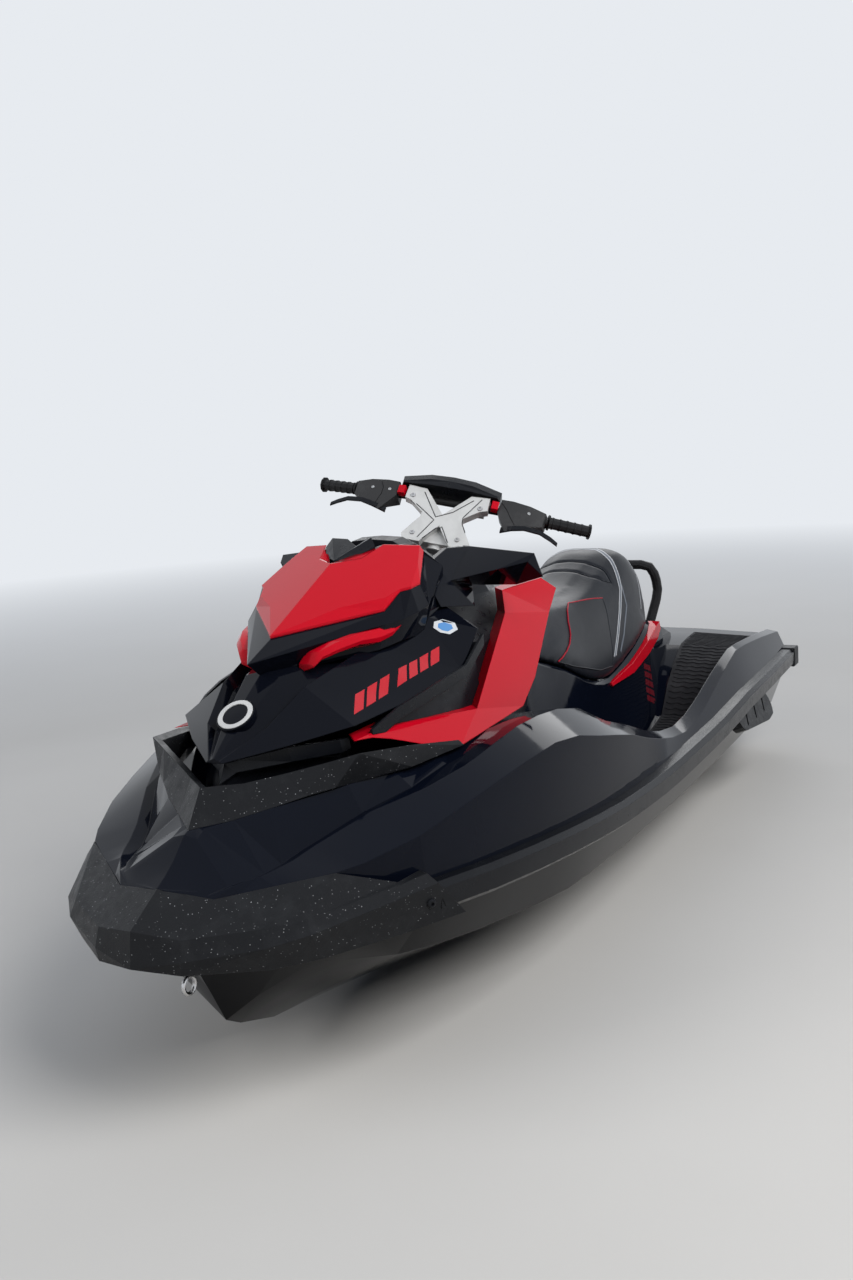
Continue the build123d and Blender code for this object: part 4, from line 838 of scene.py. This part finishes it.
BUMPER_BOLT = (2885, 464, 405)
BUMPER_BOLT_RADIUS = 0.011
bolt_places = [p for path in both([BUMPER_BOLT]) for p in path]
finish_piece(fasteners("bumper_bolts", nodes_surface("front_bumper"), bolt_places, screw(BUMPER_BOLT_RADIUS)),
             "stainless", "root", "satin_plastic")
finish_piece(bars("flank_bars", nodes_surface("seat_base"), *FLANK_BARS), "red_paint", "root", "dark_red_film")

# Ribs moulded across the mats
RIB_PITCH = 0.022
RIB_WIDTH = 0.009
RIB_HEIGHT = 0.0022
RIB_WAVE = 0.003
RIB_WAVE_LENGTH = 0.045
RIB_STEP = 0.008
RIB_LEVEL = 0.3             # a rib runs only where the mat's normal rises more than this
RIB_BREAK = 0.012           # and ends where the mat's level jumps by this much
RIB_LEAST = 4               # runs of so few steps get no rib
RAY_START = 0.1
DOWN = Vector((0, 0, -1))


def mat_ribs():
    tree = nodes_surface("traction_mats")
    low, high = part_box("traction_mats")
    paths = []
    x = low[0] + RIB_PITCH
    while x < high[0] - RIB_PITCH / 2:
        run = []
        y = low[1]
        while y < high[1] + 2 * RIB_STEP:
            wavy = x + RIB_WAVE * sin(2 * pi * y / RIB_WAVE_LENGTH)
            place, normal, _, _ = tree.ray_cast(Vector((wavy, y, high[2] + RAY_START)), DOWN)
            on_mat = place is not None and normal.z > RIB_LEVEL
            if on_mat and (not run or abs(place.z - run[-1].z) < RIB_BREAK):
                run.append(place)
            else:
                if len(run) > RIB_LEAST:
                    paths.append(run[1:-1])
                run = [place] if on_mat else []
            y += RIB_STEP
        x += RIB_PITCH
    return ribbon("mat_ribs", tree, paths, RIB_WIDTH, RIB_HEIGHT, step=RIB_STEP)


finish_piece(mat_ribs(), "mat_foam", "root")


# Stage, lamps, camera

def backdrop_rays(tree):
    """1 for rays that show the backdrop, straight or by way of gloss and glass, and 0 for those that light."""
    path = tree.nodes.new("ShaderNodeLightPath")
    total = path.outputs["Is Camera Ray"]
    for name in ("Is Glossy Ray", "Is Transmission Ray"):
        either = tree.nodes.new("ShaderNodeMath")
        either.operation = "MAXIMUM"
        tree.links.new(total, either.inputs[0])
        tree.links.new(path.outputs[name], either.inputs[1])
        total = either.outputs[0]
    return total


def build_stage():
    half = FLOOR_SIZE / 2
    floor = mesh_object("floor", [(x * half, y * half, KEEL_Z) for x, y in SQUARE], [(0, 1, 2, 3)])
    f = Finish("floor")
    f.set(Roughness=0.85, Specular_IOR_Level=0.2)
    f.colour(f.mix(f.noise(1.5, detail=5.0), FLOOR_COLOUR, FLOOR_WORN))
    f.bump([(f.noise(90.0, detail=4.0), 0.12, 0.002)])
    distance = f.node("ShaderNodeVectorMath", operation="LENGTH")
    f.join(f.place, distance.inputs[0])
    spread = f.node("ShaderNodeMapRange")
    spread.inputs["From Min"].default_value = FADE_START
    spread.inputs["From Max"].default_value = FADE_END
    f.join(distance.outputs["Value"], spread.inputs["Value"])
    glow = f.node("ShaderNodeEmission")
    glow.inputs["Color"].default_value = BACKDROP
    far_and_seen = f.node("ShaderNodeMath", operation="MULTIPLY")
    f.join(spread.outputs["Result"], far_and_seen.inputs[0])
    f.join(backdrop_rays(f.tree), far_and_seen.inputs[1])
    blend = f.node("ShaderNodeMixShader")
    f.join(far_and_seen.outputs[0], blend.inputs[0])
    f.join(f.shader.outputs[0], blend.inputs[1])
    f.join(glow.outputs[0], blend.inputs[2])
    f.join(blend.outputs[0], f.tree.nodes["Material Output"].inputs["Surface"])
    floor.data.materials.append(f.material)


# The dome of light: pale on one side and low down, and overhead. Each part fades between two cosines.
PALE_SIDE = (-0.86, -0.49, 0.14)        # it lies this way from the object
SIDE_FADE = (0.15, 0.85)
SIDE_LIGHT = (0.58, 0.70, 0.90, 1)
DARK_SIDE = (0.045, 0.050, 0.062, 1)
UP = (0, 0, 1)
LOW_FADE = (0.28, 0.75)
LOW = (1, 1, 1, 1)
HIGH = (0.06, 0.06, 0.06, 1)
TOP_FADE = (0.45, 0.98)
OVERHEAD = (0.20, 0.24, 0.31, 1)
BLACK = (0, 0, 0, 1)


def build_world():
    """A pale backdrop for the rays that show it, and a dimmer dome for those that light the object."""
    world = bpy.data.worlds.new("studio")
    world.use_nodes = True
    bpy.context.scene.world = world
    tree = world.node_tree
    tree.nodes.clear()
    new, join = tree.nodes.new, tree.links.new
    out = new("ShaderNodeOutputWorld")
    seen = new("ShaderNodeBackground")
    seen.inputs["Color"].default_value = BACKDROP
    light = new("ShaderNodeBackground")
    place = new("ShaderNodeTexCoord")

    def shade(direction, fade, first, last):
        towards = new("ShaderNodeVectorMath")
        towards.operation = "DOT_PRODUCT"
        join(place.outputs["Generated"], towards.inputs[0])
        towards.inputs[1].default_value = direction
        ramp = new("ShaderNodeValToRGB")
        ramp.color_ramp.interpolation = "EASE"
        for element, at, colour in zip(ramp.color_ramp.elements, fade, (first, last)):
            element.position = at
            element.color = colour
        join(towards.outputs["Value"], ramp.inputs["Fac"])
        return ramp.outputs["Color"]

    def blended(a, b, blend):
        made = new("ShaderNodeMix")
        made.data_type = "RGBA"
        made.blend_type = blend
        made.inputs[0].default_value = 1.0
        join(a, made.inputs[6])
        join(b, made.inputs[7])
        return made.outputs[2]

    side = shade(PALE_SIDE, SIDE_FADE, DARK_SIDE, SIDE_LIGHT)
    low = shade(UP, LOW_FADE, LOW, HIGH)
    top = shade(UP, TOP_FADE, BLACK, OVERHEAD)
    join(blended(blended(side, low, "MULTIPLY"), top, "ADD"), light.inputs["Color"])
    blend = new("ShaderNodeMixShader")
    join(backdrop_rays(tree), blend.inputs[0])
    join(light.outputs[0], blend.inputs[1])
    join(seen.outputs[0], blend.inputs[2])
    join(blend.outputs[0], out.inputs["Surface"])


# x, y, z, watts, width, height, shows in gloss. What faces the first two shows the backdrop alone.
LAMPS = {
    "key": (1.4, 5.0, 5.0, 520.0, 5.0, 4.0, False),
    "front": (5.4, -4.4, 4.0, 240.0, 4.6, 3.6, False),
    "back": (-5.5, -2.0, 3.6, 80.0, 4.4, 2.8, True),
}
LAMPS_AIM = (0.2, 0, 0.3)


def build_lamps():
    for name, (x, y, z, watts, width, height, shows) in LAMPS.items():
        data = bpy.data.lights.new(name, "AREA")
        data.shape = "RECTANGLE"
        data.energy = watts
        data.size = width
        data.size_y = height
        lamp = link(bpy.data.objects.new(name, data))
        lamp.visible_glossy = shows
        lamp.location = (x, y, z)
        aim = Vector(LAMPS_AIM) - lamp.location
        lamp.rotation_euler = aim.to_track_quat("-Z", "Y").to_euler()


def build_camera():
    yaw, pitch, roll = radians(CAMERA_YAW), radians(CAMERA_PITCH), radians(CAMERA_ROLL)
    forward = Vector((cos(pitch) * cos(yaw), cos(pitch) * sin(yaw), sin(pitch)))
    level = forward.cross(Vector((0, 0, 1))).normalized()
    dip = forward.cross(level)
    right = level * cos(roll) + dip * sin(roll)
    down = dip * cos(roll) - level * sin(roll)
    data = bpy.data.cameras.new("camera")
    data.sensor_fit = "VERTICAL"
    data.sensor_height = SENSOR
    data.lens = CAMERA_FOCAL * SENSOR / IMAGE_HEIGHT
    camera = link(bpy.data.objects.new("camera", data))
    axes = Matrix((right, -down, -forward)).transposed()
    camera.matrix_world = Matrix.Translation(CAMERA_AT) @ axes.to_4x4()
    bpy.context.scene.camera = camera


build_stage()
build_world()
build_lamps()
build_camera()
bpy.context.scene.view_settings.view_transform = "Standard"
